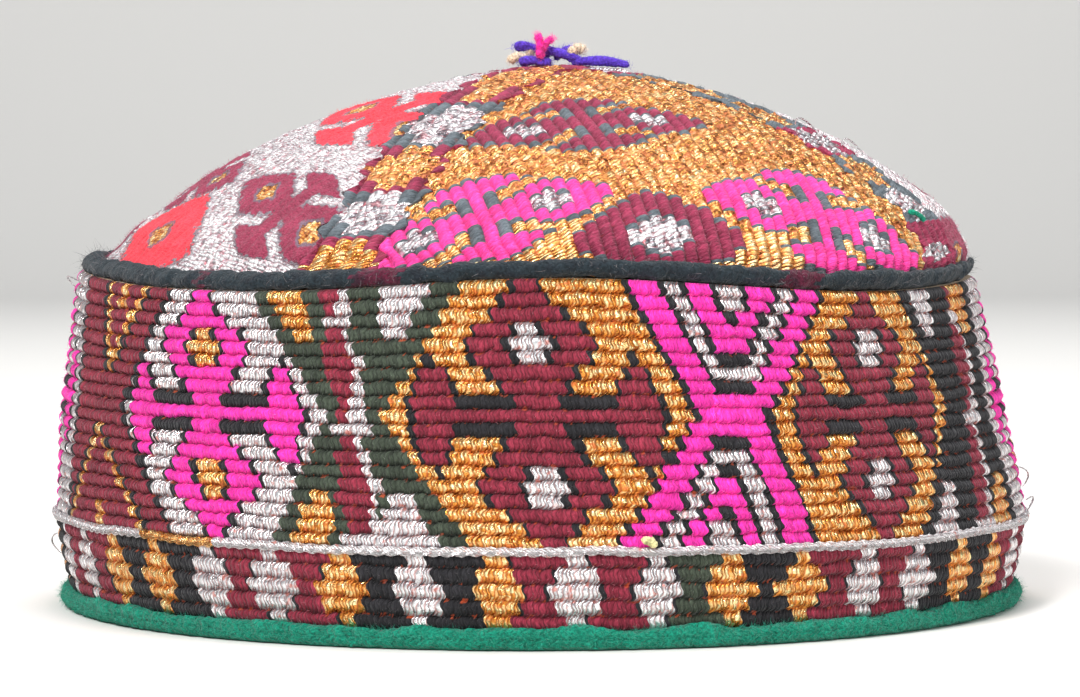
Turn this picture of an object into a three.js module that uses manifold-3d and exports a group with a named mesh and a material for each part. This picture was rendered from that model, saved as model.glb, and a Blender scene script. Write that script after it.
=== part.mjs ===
// A tubeteika: a tall embroidered skullcap with a four-gore domed crown, an upright side band,
// a lower border, a wool cord over the crown seam, a metal-thread cord over the border seam,
// a wool binding round the rim and a tuft of yarn ends on top.
// Millimetres, +Z up. The origin is the centre of the rim's resting plane. The wearer's front is -Y.
import * as THREE from "three";
import { mergeVertices } from "three/addons/utils/BufferGeometryUtils.js";
import Module from "manifold-3d";

const wasm = await Module();
wasm.setup();

// Driving dimensions
const WIDEST_RADIUS = 90; // over the corded rows, at the border seam
const BORDER_SEAM_HEIGHT = 15.4;
const BAND_TOP_HEIGHT = 60;
const BAND_TOP_RADIUS = 83.2;
const APEX_HEIGHT = 98.8;
const WALL = 2.6; // padded, embroidered cloth
const GAP = 0.3; // clearance between neighbouring pieces
const TURNS = 48; // facets round the cap

// Corded rows of the side band and the border
const BAND_ROWS = 19;
const BORDER_ROWS = 5;
const ROW_RELIEF = 0.55; // from the top of a row to the valley beside it

// Rim
const RIM_RADIUS = 87.6; // over the border where it enters the binding
const BINDING_HEIGHT = 3.8;
const BINDING_LIP = 1.2;
const BINDING_BASE = 1.4; // below the border's edge
const BINDING_FLAT = 2.2; // width of the ring that rests on a table

// Crown
const CORD_RADIUS = 1.6;
const CROWN_RADIUS = BAND_TOP_RADIUS - 2 * CORD_RADIUS - 2 * GAP;
const CROWN_FULLNESS = 1.62; // exponent of the dome's outline: 1 is a cone, 2 is an ellipse
const CROWN_RINGS = 9;
const SEAM_AZIMUTH = -25.6; // of the seam left of the front gore, in degrees
const GORE_NAMES = ["front", "right", "back", "left"];
const SHELF_THICKNESS = 1.6; // the band's top edge, turned in under the crown

// Metal-thread cord
const METAL_CORD_RADIUS = 0.7;

// How the soft cap stands: each height's shift to the wearer's left, which is +X
const LEAN = [
  { height: 0, shift: 0 },
  { height: 16, shift: 0 },
  { height: 38, shift: -1.5 },
  { height: 60, shift: -2.4 },
  { height: 66, shift: 0.2 },
  { height: 74, shift: 2.6 },
  { height: 99, shift: 3.4 },
];
// The crown seam rises over the front, sides and back and dips between them
const WAVE = { lift: 1.2, count: 4, peakHeight: 61, reach: 42 };

// Yarn ends of the tuft: across, forward and up are from the apex, angles are in the X-Z plane
const TUFT_KNOT = { radius: 3.2, height: 1.6 };
const TUFT_SIDES = 4; // facets on half of a yarn's round
const TUFT_YARNS = [
  { name: "violet_long", thick: 0.95, from: [-1.5, -1.2, 0.9], via: [4, -2.2, 1.7], to: [13.4, -1.4, 0.6] },
  { name: "violet_left", thick: 0.95, from: [0, 0.4, 0.8], via: [-3.6, 0.2, 3.6], to: [-7.4, 0.8, 3.0] },
  { name: "violet_slant", thick: 0.9, from: [-1, 1.4, 1.0], via: [3.4, 1.6, 3.4], to: [7.2, 2.2, 1.0] },
  { name: "pink_left", thick: 0.72, from: [-2.4, -1.8, 0.6], via: [-2, -2, 3.2], to: [-3.2, -1.6, 6.0] },
  { name: "pink_right", thick: 0.72, from: [-2.2, -1.8, 1.6], via: [-1.4, -1.8, 3.4], to: [0.6, -1.4, 5.0] },
  { name: "cream_left", thick: 1.0, from: [-2, 0, 0.5], via: [-5.4, -0.4, 1.4], to: [-7.6, -0.4, 0.9] },
  { name: "cream_right", thick: 1.0, from: [1, 0.4, 0.6], via: [3.6, 0.4, 2.0], to: [4.9, 0.2, 2.6] },
];

function cloth(color, roughness, metalness = 0) {
  return new THREE.MeshStandardMaterial({ color, roughness, metalness });
}
const MATERIALS = {
  goldGore: cloth(0xc8862f, 0.6, 0.3),
  silverGore: cloth(0xbfb6b2, 0.6, 0.3),
  band: cloth(0x7a1f3d, 0.85),
  border: cloth(0x6e2036, 0.85),
  darkCord: cloth(0x1d2a2c, 0.95),
  metalCord: cloth(0xc4bdb8, 0.4, 0.7),
  binding: cloth(0x158a5c, 0.95),
  tuft: cloth(0x4a2fa6, 0.95),
};

// Outer radius of the side band and the border at a height, over the tops of the rows
function wallRadius(height) {
  if (height >= BORDER_SEAM_HEIGHT) {
    const up = (height - BORDER_SEAM_HEIGHT) / (BAND_TOP_HEIGHT - BORDER_SEAM_HEIGHT);
    return WIDEST_RADIUS - (WIDEST_RADIUS - BAND_TOP_RADIUS) * up ** 1.35;
  }
  const down = (BORDER_SEAM_HEIGHT - height) / (BORDER_SEAM_HEIGHT - BINDING_HEIGHT);
  return WIDEST_RADIUS - (WIDEST_RADIUS - RIM_RADIUS) * Math.min(down, 1) ** 2;
}

// Half outline of a dome from its edge to its top, as points of radius and height
function domeOutline(radius, base, rise) {
  const points = [];
  for (let i = 0; i <= CROWN_RINGS; i++) {
    const angle = (i / CROWN_RINGS) * (Math.PI / 2);
    const out = i === CROWN_RINGS ? 0 : Math.cos(angle) ** (2 / CROWN_FULLNESS);
    points.push([radius * out, base + rise * Math.sin(angle) ** (2 / CROWN_FULLNESS)]);
  }
  return points;
}

// Outer outline of a stack of corded rows from the bottom up: a valley, then each row's top and valley
function cordedOutline(bottom, top, rows) {
  const pitch = (top - bottom) / rows;
  const points = [[wallRadius(bottom) - ROW_RELIEF, bottom]];
  for (let row = 0; row < rows; row++) {
    const crest = bottom + pitch * (row + 0.5);
    const valley = bottom + pitch * (row + 1);
    points.push([wallRadius(crest), crest], [wallRadius(valley) - ROW_RELIEF, valley]);
  }
  return points;
}

// Inner face of the wall from the top down
function innerOutline(bottom, top, steps) {
  const points = [];
  for (let i = 0; i <= steps; i++) {
    const height = top + ((bottom - top) * i) / steps;
    points.push([wallRadius(height) - WALL, height]);
  }
  return points;
}

function circleOutline(radius, height, thick, sides) {
  const points = [];
  for (let i = 0; i < sides; i++) {
    const angle = (i / sides) * 2 * Math.PI;
    points.push([radius + thick * Math.cos(angle), height + thick * Math.sin(angle)]);
  }
  return points;
}

// A closed outline of radius and height points, turned about the cap's axis
function turned(outline, closes = true) {
  const points = outline.map(([radius, height]) => new THREE.Vector2(radius, height));
  if (closes) points.push(points[0].clone());
  return new THREE.LatheGeometry(points, TURNS).rotateX(Math.PI / 2);
}

// Height's shift along X, eased between the rows of LEAN
function leanAt(height) {
  const last = LEAN.length - 1;
  const upper = LEAN.findIndex((row) => row.height > height);
  if (upper < 0) return LEAN[last].shift;
  if (upper === 0) return LEAN[0].shift;
  const [low, high] = [LEAN[upper - 1], LEAN[upper]];
  const along = THREE.MathUtils.smoothstep(height, low.height, high.height);
  return low.shift + (high.shift - low.shift) * along;
}

// Moves a geometry made about the Z axis into the stance of the soft cap
function settled(geometry) {
  const place = geometry.getAttribute("position");
  for (let i = 0; i < place.count; i++) {
    const [x, y, z] = [place.getX(i), place.getY(i), place.getZ(i)];
    const azimuth = Math.atan2(x, -y);
    const near = Math.max(0, 1 - Math.abs(z - WAVE.peakHeight) / WAVE.reach);
    const lift = Math.hypot(x, y) < 1e-6 ? 0 : WAVE.lift * near * near * Math.cos(WAVE.count * azimuth);
    place.setXYZ(i, x + leanAt(z), y, z + lift);
  }
  return geometry;
}

function solidOf(geometry) {
  const bare = new THREE.BufferGeometry();
  bare.setAttribute("position", geometry.getAttribute("position").clone());
  if (geometry.index) bare.setIndex(geometry.index.clone());
  const merged = mergeVertices(bare, 1e-4);
  return new wasm.Manifold(
    new wasm.Mesh({
      numProp: 3,
      vertProperties: new Float32Array(merged.attributes.position.array),
      triVerts: new Uint32Array(merged.index.array),
    }),
  );
}

function geometryOf(solid) {
  const mesh = solid.getMesh();
  const geometry = new THREE.BufferGeometry();
  geometry.setAttribute("position", new THREE.BufferAttribute(mesh.vertProperties, 3));
  geometry.setIndex(new THREE.BufferAttribute(mesh.triVerts, 1));
  return geometry;
}

const cap = new THREE.Group();
cap.name = "tubeteika";

function add(name, geometry, material) {
  const mesh = new THREE.Mesh(geometry, material);
  mesh.name = name;
  cap.add(mesh);
}

// Rim binding: a channel that wraps the border's lower edge, flat where it rests
function edgeBinding() {
  const inside = RIM_RADIUS - WALL - GAP;
  const outside = RIM_RADIUS + GAP;
  const middle = (inside + outside) / 2;
  const floor = BINDING_BASE;
  return turned([
    [middle - BINDING_FLAT / 2, 0],
    [middle + BINDING_FLAT / 2, 0],
    [outside + BINDING_LIP * 0.75, 0.9],
    [outside + BINDING_LIP, BINDING_HEIGHT * 0.55],
    [outside + BINDING_LIP * 0.75, BINDING_HEIGHT * 0.9],
    [outside + BINDING_LIP * 0.3, BINDING_HEIGHT],
    [outside, BINDING_HEIGHT * 0.9],
    [outside, floor],
    [inside, floor],
    [inside, BINDING_HEIGHT * 0.9],
    [inside - BINDING_LIP * 0.5, BINDING_HEIGHT],
    [inside - BINDING_LIP, BINDING_HEIGHT * 0.6],
    [inside - BINDING_LIP * 0.75, 0.9],
  ]);
}

// Lower border: its foot is plain where the binding holds it, with corded rows above
function lowerBorder() {
  const foot = BINDING_BASE + GAP;
  const rowsFrom = BINDING_HEIGHT + GAP;
  const top = BORDER_SEAM_HEIGHT - GAP / 2;
  return turned([
    [RIM_RADIUS - ROW_RELIEF, foot],
    ...cordedOutline(rowsFrom, top, BORDER_ROWS),
    ...innerOutline(rowsFrom, top, 2),
    [RIM_RADIUS - WALL, foot],
  ]);
}

// Side band: corded rows, with the top edge turned in as a shelf that carries the crown
function sideBand() {
  const bottom = BORDER_SEAM_HEIGHT + GAP / 2;
  const under = BAND_TOP_HEIGHT - SHELF_THICKNESS;
  const shelfEdge = CROWN_RADIUS - WALL;
  return turned([
    ...cordedOutline(bottom, BAND_TOP_HEIGHT, BAND_ROWS),
    [shelfEdge, BAND_TOP_HEIGHT],
    [shelfEdge, under],
    ...innerOutline(bottom, under, 3),
  ]);
}

// One quarter of the crown: the dome cut by the wedge between two seams
function crownGores() {
  const base = BAND_TOP_HEIGHT + GAP;
  const rise = APEX_HEIGHT - base;
  const outer = domeOutline(CROWN_RADIUS, base, rise);
  const inner = domeOutline(CROWN_RADIUS - WALL, base, rise - WALL).reverse();
  const dome = solidOf(turned([...inner, ...outer], false));
  const reach = 2 * CROWN_RADIUS;
  const tip = (GAP / 2) * Math.SQRT2;
  const quarter = new THREE.Shape();
  quarter.moveTo(0, tip);
  quarter.lineTo(reach, tip + reach);
  quarter.lineTo(-reach, tip + reach);
  quarter.closePath();
  return GORE_NAMES.map((name, i) => {
    const middle = THREE.MathUtils.degToRad(SEAM_AZIMUTH + 45 + 90 * i);
    const wedge = new THREE.ExtrudeGeometry(quarter, { depth: APEX_HEIGHT, bevelEnabled: false });
    wedge.translate(0, 0, BAND_TOP_HEIGHT - 5).rotateZ(middle - Math.PI);
    return { name, geometry: geometryOf(dome.intersect(solidOf(wedge))) };
  });
}

// Tuft: yarn ends sewn down through one flat knot on the apex
function topTuft() {
  const sink = TUFT_KNOT.height * 0.3;
  const knot = new THREE.SphereGeometry(TUFT_KNOT.radius, 12, 8).scale(1, 1, TUFT_KNOT.height / TUFT_KNOT.radius);
  let solid = solidOf(knot.translate(0, 0, sink));
  for (const yarn of TUFT_YARNS) {
    const path = new THREE.QuadraticBezierCurve3(
      new THREE.Vector3(...yarn.from),
      new THREE.Vector3(...yarn.via),
      new THREE.Vector3(...yarn.to),
    );
    const section = new THREE.Shape();
    section.absarc(0, 0, yarn.thick, 0, 2 * Math.PI);
    const strand = new THREE.ExtrudeGeometry(section, {
      steps: 5,
      curveSegments: TUFT_SIDES,
      bevelEnabled: false,
      extrudePath: path,
    });
    solid = solid.add(solidOf(strand));
  }
  return geometryOf(solid);
}

// The tuft lies on the crown: its underside is trimmed to the dome with a small clearance
function seatedTuft() {
  const tuft = topTuft().translate(leanAt(APEX_HEIGHT), 0, APEX_HEIGHT);
  const base = BAND_TOP_HEIGHT + GAP;
  const below = domeOutline(CROWN_RADIUS + GAP, base, APEX_HEIGHT + GAP - base);
  const dome = settled(turned([[0, base], ...below], false));
  return geometryOf(solidOf(tuft).subtract(solidOf(dome)));
}

add("edge_binding", settled(edgeBinding()), MATERIALS.binding);
add("lower_border", settled(lowerBorder()), MATERIALS.border);
add("side_band", settled(sideBand()), MATERIALS.band);
const metalCordAt = WIDEST_RADIUS - ROW_RELIEF + GAP + METAL_CORD_RADIUS;
const metalCord = turned(circleOutline(metalCordAt, BORDER_SEAM_HEIGHT, METAL_CORD_RADIUS, 6));
add("metal_cord", settled(metalCord), MATERIALS.metalCord);
for (const gore of crownGores()) {
  const golden = gore.name === "front" || gore.name === "back";
  add("crown_gore_" + gore.name, settled(gore.geometry), golden ? MATERIALS.goldGore : MATERIALS.silverGore);
}
const crownCordAt = CROWN_RADIUS + GAP + CORD_RADIUS;
const crownCord = turned(circleOutline(crownCordAt, BAND_TOP_HEIGHT + GAP + CORD_RADIUS, CORD_RADIUS, 8));
add("crown_cord", settled(crownCord), MATERIALS.darkCord);
add("top_tuft", seatedTuft(), MATERIALS.tuft);

export default cap;
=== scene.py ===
import math

import bmesh
import bpy
import numpy as np
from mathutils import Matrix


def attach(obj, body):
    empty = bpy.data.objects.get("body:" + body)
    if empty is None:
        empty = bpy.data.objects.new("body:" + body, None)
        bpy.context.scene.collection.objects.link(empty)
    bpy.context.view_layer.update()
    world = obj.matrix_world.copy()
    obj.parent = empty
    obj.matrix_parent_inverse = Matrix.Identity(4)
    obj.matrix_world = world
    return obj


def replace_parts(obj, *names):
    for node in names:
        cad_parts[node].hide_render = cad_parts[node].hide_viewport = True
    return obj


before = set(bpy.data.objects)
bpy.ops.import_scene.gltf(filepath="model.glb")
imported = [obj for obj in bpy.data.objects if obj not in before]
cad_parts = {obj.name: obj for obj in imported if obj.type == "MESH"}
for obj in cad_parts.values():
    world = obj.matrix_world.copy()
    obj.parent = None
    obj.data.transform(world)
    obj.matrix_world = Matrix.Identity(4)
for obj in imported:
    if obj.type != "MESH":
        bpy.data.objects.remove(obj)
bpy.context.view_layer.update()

# sizes are in millimetres, and a piece's mesh is in metres
mm = 0.001


# a table's rows by the names of its columns; the last ones may be left out
def tableOf(columns, rows):
    return [dict(zip(columns.split(), row)) for row in rows]


# outer form of the cap, with the sizes of the solids
capForm = {
    "widestRadius": 90.0,
    "borderSeam": 15.4,
    "bandTop": 60.0,
    "bandTopRadius": 83.2,
    "rimRadius": 87.6,
    "bindingHeight": 3.8,
    "wall": 2.6,
    "gap": 0.3,
    "crownRadius": 79.4,
    "crownBase": 60.3,
    "apex": 98.8,
    "crownFullness": 1.62,  # 1 is a cone, 2 an ellipse
    "seamAzimuth": -25.6,  # of the seam left of the front gore
    "leanHeights": [0, 16, 38, 60, 66, 74, 99],
    "leanShifts": [0, 0, -1.5, -2.4, 0.2, 2.6, 3.4],
    "waveLift": 1.2,  # the crown seam's rise and dip
    "waveCount": 4,
    "wavePeak": 61.0,
    "waveReach": 42.0,
    "droop": 1.7,  # of the crown's seam on the right, from wear
    "dip": {"deep": 0.9, "azimuth": -22, "reach": 18},  # of the same seam, left of the front
    "raised": 0.7,  # band and crown stand this much above the solids
    "stretch": 0.55,  # of the border, and what it has more on the left and less on the right
    "stretchLeft": 0.6,
    "bulge": {"out": 2.0, "below": 66, "fade": 13},  # of the crown over its cord on the right
    "bandCurve": 1.35,  # 1 is a straight slope
    "calmRadius": 10,  # nearer the apex nothing waves
}


def smoothStep(t):
    t = np.clip(t, 0, 1)
    return t * t * (3 - 2 * t)


def leanAt(height):
    height = np.asarray(height, dtype=float)
    heights, shifts = capForm["leanHeights"], capForm["leanShifts"]
    lean = np.full(height.shape, float(shifts[0]))
    for i in range(1, len(heights)):
        along = smoothStep((height - heights[i - 1]) / (heights[i] - heights[i - 1]))
        lean = lean + (shifts[i] - shifts[i - 1]) * along
    return lean


def wallRadius(height):
    seam, widest = capForm["borderSeam"], capForm["widestRadius"]
    height = np.asarray(height, dtype=float)
    up = np.clip((height - seam) / (capForm["bandTop"] - seam), 0, None)
    down = np.clip((seam - height) / (seam - capForm["bindingHeight"]), 0, 1)
    drawnIn = (widest - capForm["bandTopRadius"]) * up ** capForm["bandCurve"]
    return widest - drawnIn - (widest - capForm["rimRadius"]) * down**2


def onRight(azimuth):
    return np.clip(np.sin(azimuth), 0, 1) ** 2


# stands a point of the round cap in the cap's soft stance; azimuth 0 is the front
def standing(radius, azimuth, height):
    near = np.clip(1 - np.abs(height - capForm["wavePeak"]) / capForm["waveReach"], 0, None)
    wave = capForm["waveLift"] * np.cos(capForm["waveCount"] * azimuth)
    dip = capForm["dip"]
    away = (np.degrees(azimuth) - dip["azimuth"] + 180) % 360 - 180
    dipped = dip["deep"] * np.exp(-((away / dip["reach"]) ** 2))
    lift = near**2 * (wave - capForm["droop"] * onRight(azimuth) - dipped)
    lift = lift * np.clip(radius / capForm["calmRadius"], 0, 1)
    rim, seam, top = capForm["bindingHeight"], capForm["borderSeam"], capForm["bandTop"]
    lift = lift + capForm["raised"] * np.interp(height, [rim, seam], [0, 1])
    stretch = capForm["stretch"] - capForm["stretchLeft"] * np.sin(azimuth)
    lift = lift + stretch * np.interp(height, [rim, seam, top], [0, 1, 0])
    x = radius * np.sin(azimuth) + leanAt(height)
    return np.stack([x, -radius * np.cos(azimuth), height + lift], axis=-1) * mm


def crownStanding(radius, azimuth, height):
    places = standing(radius, azimuth, height)
    bulge = capForm["bulge"]
    low = 1 - smoothStep((height - bulge["below"]) / bulge["fade"])
    places[..., 0] += bulge["out"] * onRight(azimuth) * low * mm
    return places


# the dome's outline from the apex to its edge, by distance along it
domeAngle = np.linspace(math.pi / 2, 0, 600)
domePower = 2 / capForm["crownFullness"]
domeRise = capForm["apex"] - capForm["crownBase"]
domeR = capForm["crownRadius"] * np.abs(np.cos(domeAngle)) ** domePower
domeZ = capForm["crownBase"] + domeRise * np.sin(domeAngle) ** domePower
domeR[0] = 0
domeS = np.concatenate([[0], np.cumsum(np.hypot(np.diff(domeR), np.diff(domeZ)))])
domeLength = float(domeS[-1])
domeSlopeR = np.gradient(domeR, domeS)
domeSlopeZ = np.gradient(domeZ, domeS)


# radius and height of the dome at a distance s from the apex, lifted off its surface
def domeAt(s, lift):
    slopeR, slopeZ = np.interp(s, domeS, domeSlopeR), np.interp(s, domeS, domeSlopeZ)
    radius = np.interp(s, domeS, domeR) - slopeZ * lift
    height = np.interp(s, domeS, domeZ) + slopeR * lift
    return np.maximum(radius, 0), height


def domeDistance(height):
    return float(np.interp(-height, -domeZ, domeS))


# kept off 0 at the apex, to divide by
def domeRadius(s, least=0.5):
    return np.maximum(np.interp(s, domeS, domeR), least)


# shader nodes: a socket is linked, a plain value is set
def setSocket(tree, socket, value):
    if isinstance(value, bpy.types.NodeSocket):
        tree.links.new(value, socket)
    else:
        socket.default_value = value


def addNode(tree, kind, settings=None, inputs=None):
    made = tree.nodes.new("ShaderNode" + kind)
    for key, value in (settings or {}).items():
        setattr(made, key, value)
    for label, value in (inputs or {}).items():
        setSocket(tree, made.inputs[label], value)
    return made


def mathNode(tree, operation, first, second=0.0):
    return addNode(tree, "Math", {"operation": operation}, {0: first, 1: second}).outputs[0]


def chained(tree, operation, first, *others):
    for value in others:
        first = mathNode(tree, operation, first, value)
    return first


def times(tree, *values):
    return chained(tree, "MULTIPLY", *values)


def plus(tree, *values):
    return chained(tree, "ADD", *values)


def minus(tree, first, second):
    return mathNode(tree, "SUBTRACT", first, second)


def largest(tree, *values):
    return chained(tree, "MAXIMUM", *values)


def mapped(tree, value, fromMin, fromMax, toMin, toMax):
    limits = {"Value": value, "From Min": fromMin, "From Max": fromMax, "To Min": toMin, "To Max": toMax}
    return addNode(tree, "MapRange", {"clamp": True}, limits).outputs[0]


# most of a noise lies in this range
def fromNoise(tree, noise, low, high):
    return mapped(tree, noise, 0.3, 0.7, low, high)


def noiseAt(tree, place, scale, detail, dimensions="3D"):
    inputs = {"Vector": place, "Scale": scale, "Detail": detail}
    return addNode(tree, "TexNoise", {"noise_dimensions": dimensions}, inputs).outputs[0]


def objectPlace(tree):
    return addNode(tree, "TexCoord").outputs["Object"]


def stitchPlace(tree):
    stitch = addNode(tree, "UVMap", {"uv_map": "stitch"}).outputs[0]
    return stitch, addNode(tree, "SeparateXYZ", inputs={0: stitch}).outputs


def mixColour(tree, factor, first, second, blend="MIX"):
    settings = {"data_type": "RGBA", "blend_type": blend}
    return addNode(tree, "Mix", settings, {0: factor, 6: first, 7: second}).outputs[2]


def shaded(tree, colour, shade):
    return mixColour(tree, 1.0, colour, shade, "MULTIPLY")


def newGroup(name, inputs, outputs):
    group = bpy.data.node_groups.new(name, "ShaderNodeTree")
    sockets = group.interface
    for label, value in inputs.items():
        sockets.new_socket(name=label, in_out="INPUT", socket_type="NodeSocketFloat").default_value = value
    for label in outputs:
        sockets.new_socket(name=label, in_out="OUTPUT", socket_type="NodeSocketFloat")
    return group, group.nodes.new("NodeGroupInput").outputs, group.nodes.new("NodeGroupOutput").inputs


# thread wound round a corded row: the stitch map runs in millimetres along a row and in rows across it
def makeThreadWraps():
    outputs = ["Round", "Gap", "Chance", "Glint", "Tilt", "Crest", "Fibre", "Ground"]
    group, given, put = newGroup("threadWraps", {"Slant": 0.4, "Wraps": 1.2}, outputs)
    stitch, split = stitchPlace(group)
    across = mathNode(group, "FRACT", split[1])
    fromMiddle = minus(group, across, 0.5)
    wander = noiseAt(group, stitch, 0.6, 1.0, "2D")
    turned = plus(group, split[0], times(group, fromMiddle, given["Slant"]), times(group, wander, 0.9))
    counted = times(group, turned, given["Wraps"])
    along = mathNode(group, "FRACT", counted)
    roundness = mathNode(group, "SINE", times(group, along, math.pi))
    # every wrap has chances of its own, and every third of it a glint
    wrapRow = {0: mathNode(group, "FLOOR", counted), 1: mathNode(group, "FLOOR", split[1])}
    cell = addNode(group, "CombineXYZ", inputs=wrapRow).outputs[0]
    chance = addNode(group, "TexWhiteNoise", {"noise_dimensions": "2D"}, {"Vector": cell}).outputs
    chances = addNode(group, "SeparateColor", inputs={0: chance["Color"]}).outputs
    third = mathNode(group, "FLOOR", times(group, plus(group, across, chances[2]), 3.0))
    thirdCell = addNode(group, "CombineXYZ", inputs={**wrapRow, 2: third}).outputs[0]
    glint = addNode(group, "TexWhiteNoise", {"noise_dimensions": "3D"}, {"Vector": thirdCell}).outputs[0]
    tiltAlong = times(group, minus(group, chances[0], 0.5), minus(group, along, 0.5))
    tiltAcross = times(group, minus(group, chances[1], 0.5), fromMiddle)
    streakAt = {0: times(group, turned, 6.0), 1: times(group, split[1], 3.0)}
    streaks = addNode(group, "CombineXYZ", inputs=streakAt).outputs[0]
    specks = noiseAt(group, stitch, 0.9, 2.0, "2D")
    # Crest marks where a painted highlight goes, a little above a row's middle where light from above falls,
    # fading into painted shade in the valleys; Gap marks the hollows between wraps, where shade is painted
    # and a metal strip's core shows
    ragged = plus(group, across, mapped(group, chances[1], 0, 1, -0.1, 0.1))
    fromCrest = mathNode(group, "ABSOLUTE", minus(group, ragged, 0.46))
    valley = mapped(group, mathNode(group, "ABSOLUTE", minus(group, ragged, 0.5)), 0.38, 0.47, 0, 1)
    values = {
        "Round": roundness,
        "Gap": mapped(group, roundness, 0.06, 0.55, 1, 0),
        "Chance": chance["Value"],
        "Glint": glint,
        "Tilt": plus(group, tiltAlong, times(group, tiltAcross, 1.5)),
        "Crest": mapped(group, fromCrest, 0.08, 0.5, 1, 0),
        "Fibre": noiseAt(group, streaks, 1.0, 3.0, "2D"),
        "Ground": times(group, valley, mapped(group, specks, 0.57, 0.66, 0, 1)),
    }
    for label, socket in values.items():
        group.links.new(socket, put[label])
    return group


threadWraps = makeThreadWraps()


def srgb(red, green, blue):
    channels = []
    for value in (red, green, blue):
        c = value / 255
        channels.append(c / 12.92 if c <= 0.04045 else ((c + 0.055) / 1.055) ** 2.4)
    return (*channels, 1.0)


def newMaterial(name):
    material = bpy.data.materials.new(name)
    material.use_nodes = True
    tree = material.node_tree
    return material, tree, tree.nodes["Principled BSDF"]


# sets or links the shader's sockets, and bumps it by a height to a depth in millimetres
def finishShader(tree, shader, sockets, height=None, depth=0.3, strength=0.9):
    for label, value in sockets.items():
        setSocket(tree, shader.inputs[label], value)
    if height is not None:
        inputs = {"Height": height, "Strength": strength, "Distance": depth * mm}
        tree.links.new(addNode(tree, "Bump", inputs=inputs).outputs[0], shader.inputs["Normal"])


def windThread(tree, slant, count):
    made = tree.nodes.new("ShaderNodeGroup")
    made.node_tree = threadWraps
    made.inputs["Slant"].default_value = slant
    made.inputs["Wraps"].default_value = count
    return made.outputs


# uneven dye and fading over a few millimetres
def fading(tree, size, low, high):
    return fromNoise(tree, noiseAt(tree, objectPlace(tree), 1 / (size * mm), 3.0), low, high)


cottonCore = srgb(214, 92, 52)


def makeWoolThread(name, colour, relief=1.3, groundShows=0.6, valleyShade=0.5):
    material, tree, shader = newMaterial(name)
    wound = windThread(tree, 0.75, 1.3)
    # the shade is the wool's random tone and fading, plus painted shade between the wraps and in the valleys
    # between rows and a painted highlight on each row's crest
    shade = times(
        tree,
        fromNoise(tree, wound["Fibre"], 0.62, 1.32),
        mapped(tree, wound["Chance"], 0, 1, 0.76, 1.16),
        fading(tree, 6, 0.82, 1.14),
        mapped(tree, wound["Gap"], 0, 1, 1, 1 - 0.3 * relief),
        mapped(tree, wound["Crest"], 0, 0.6, valleyShade, 1.08),
    )
    peeking = times(tree, wound["Ground"], groundShows)
    sockets = {
        "Base Color": mixColour(tree, peeking, shaded(tree, colour, shade), cottonCore),
        "Roughness": 0.95,
        "Specular IOR Level": 0.1,
        "Sheen Weight": 0.1,
        "Sheen Roughness": 0.5,
    }
    height = plus(tree, times(tree, wound["Round"], relief), wound["Fibre"])
    finishShader(tree, shader, sockets, height, 0.24, 0.85)
    return material


# metal strip wound on a cotton core, which shows between the wraps and where the strip is worn:
# its colour, how bare the core is and the relief
def windMetal(tree, wound, tones, core, look):
    place = objectPlace(tree)
    wear = noiseAt(tree, place, 1 / (1.4 * mm), 4.0)
    crumpled = noiseAt(tree, place, 1 / (0.42 * mm), 2.0)
    bare = largest(
        tree,
        mapped(tree, wear, 0.64 - look["worn"], 0.74 - look["worn"], 0, 0.8),
        times(tree, wound["Gap"], look["core"]),
        times(tree, wound["Ground"], 0.8),
    )
    # the light is painted into the colour: painted glints on single wraps and in the crumples, a painted
    # highlight along the row's crest and painted shade between the wraps
    light = plus(
        tree,
        times(tree, wound["Glint"], 0.62),
        fromNoise(tree, crumpled, 0, look["crumple"] * 0.16),
        times(tree, wound["Crest"], look["crest"]),
        times(tree, wound["Gap"], -0.25),
    )
    tilted, rumpled = times(tree, wound["Tilt"], look["tilt"]), times(tree, crumpled, look["crumple"])
    height = plus(tree, wound["Round"], tilted, rumpled)
    if "bead" in look:
        beads = addNode(tree, "TexVoronoi", inputs={"Vector": place, "Scale": 1 / (look["bead"] * mm)})
        chance = addNode(tree, "SeparateColor", inputs={0: beads.outputs["Color"]}).outputs[0]
        outward = beads.outputs["Distance"]
        # each bead gets a painted glint of its own, with painted shade round its edge; the core that shows
        # between beads is real
        brighter = mapped(tree, chance, 0, 1, -0.22, 0.38)
        light = minus(tree, plus(tree, light, brighter), mapped(tree, outward, 0.3, 0.75, 0, 0.26))
        bare = largest(tree, bare, mapped(tree, outward, 0.6, 0.85, 0, look["core"]))
        height = minus(tree, height, mapped(tree, outward, 0, 0.7, 0, look["swell"]))
    ramp = addNode(tree, "ValToRGB", inputs={"Fac": light})
    stops = ramp.color_ramp.elements
    stops[0].position, stops[1].position = 0.08, 0.96
    stops[0].color, stops[1].color = tones[0], tones[2]
    middle = stops.new(0.5)
    middle.color = tones[1]
    return mixColour(tree, bare, ramp.outputs[0], core), bare, height


def makeMetalThread(name, tones, core, look):
    material, tree, shader = newMaterial(name)
    wound = windThread(tree, 0.8, look["wraps"])
    colour, bare, height = windMetal(tree, wound, tones, core, look)
    metallic = mapped(tree, bare, 0, 1, look["metal"], 0)
    roughness = mapped(tree, wound["Chance"], 0, 1, 0.18, 0.38)
    sockets = {"Base Color": colour, "Metallic": metallic, "Roughness": roughness}
    finishShader(tree, shader, sockets, height, 0.26)
    return material


motifReach = 4.0  # the motif attribute holds distances in parts of this


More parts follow.
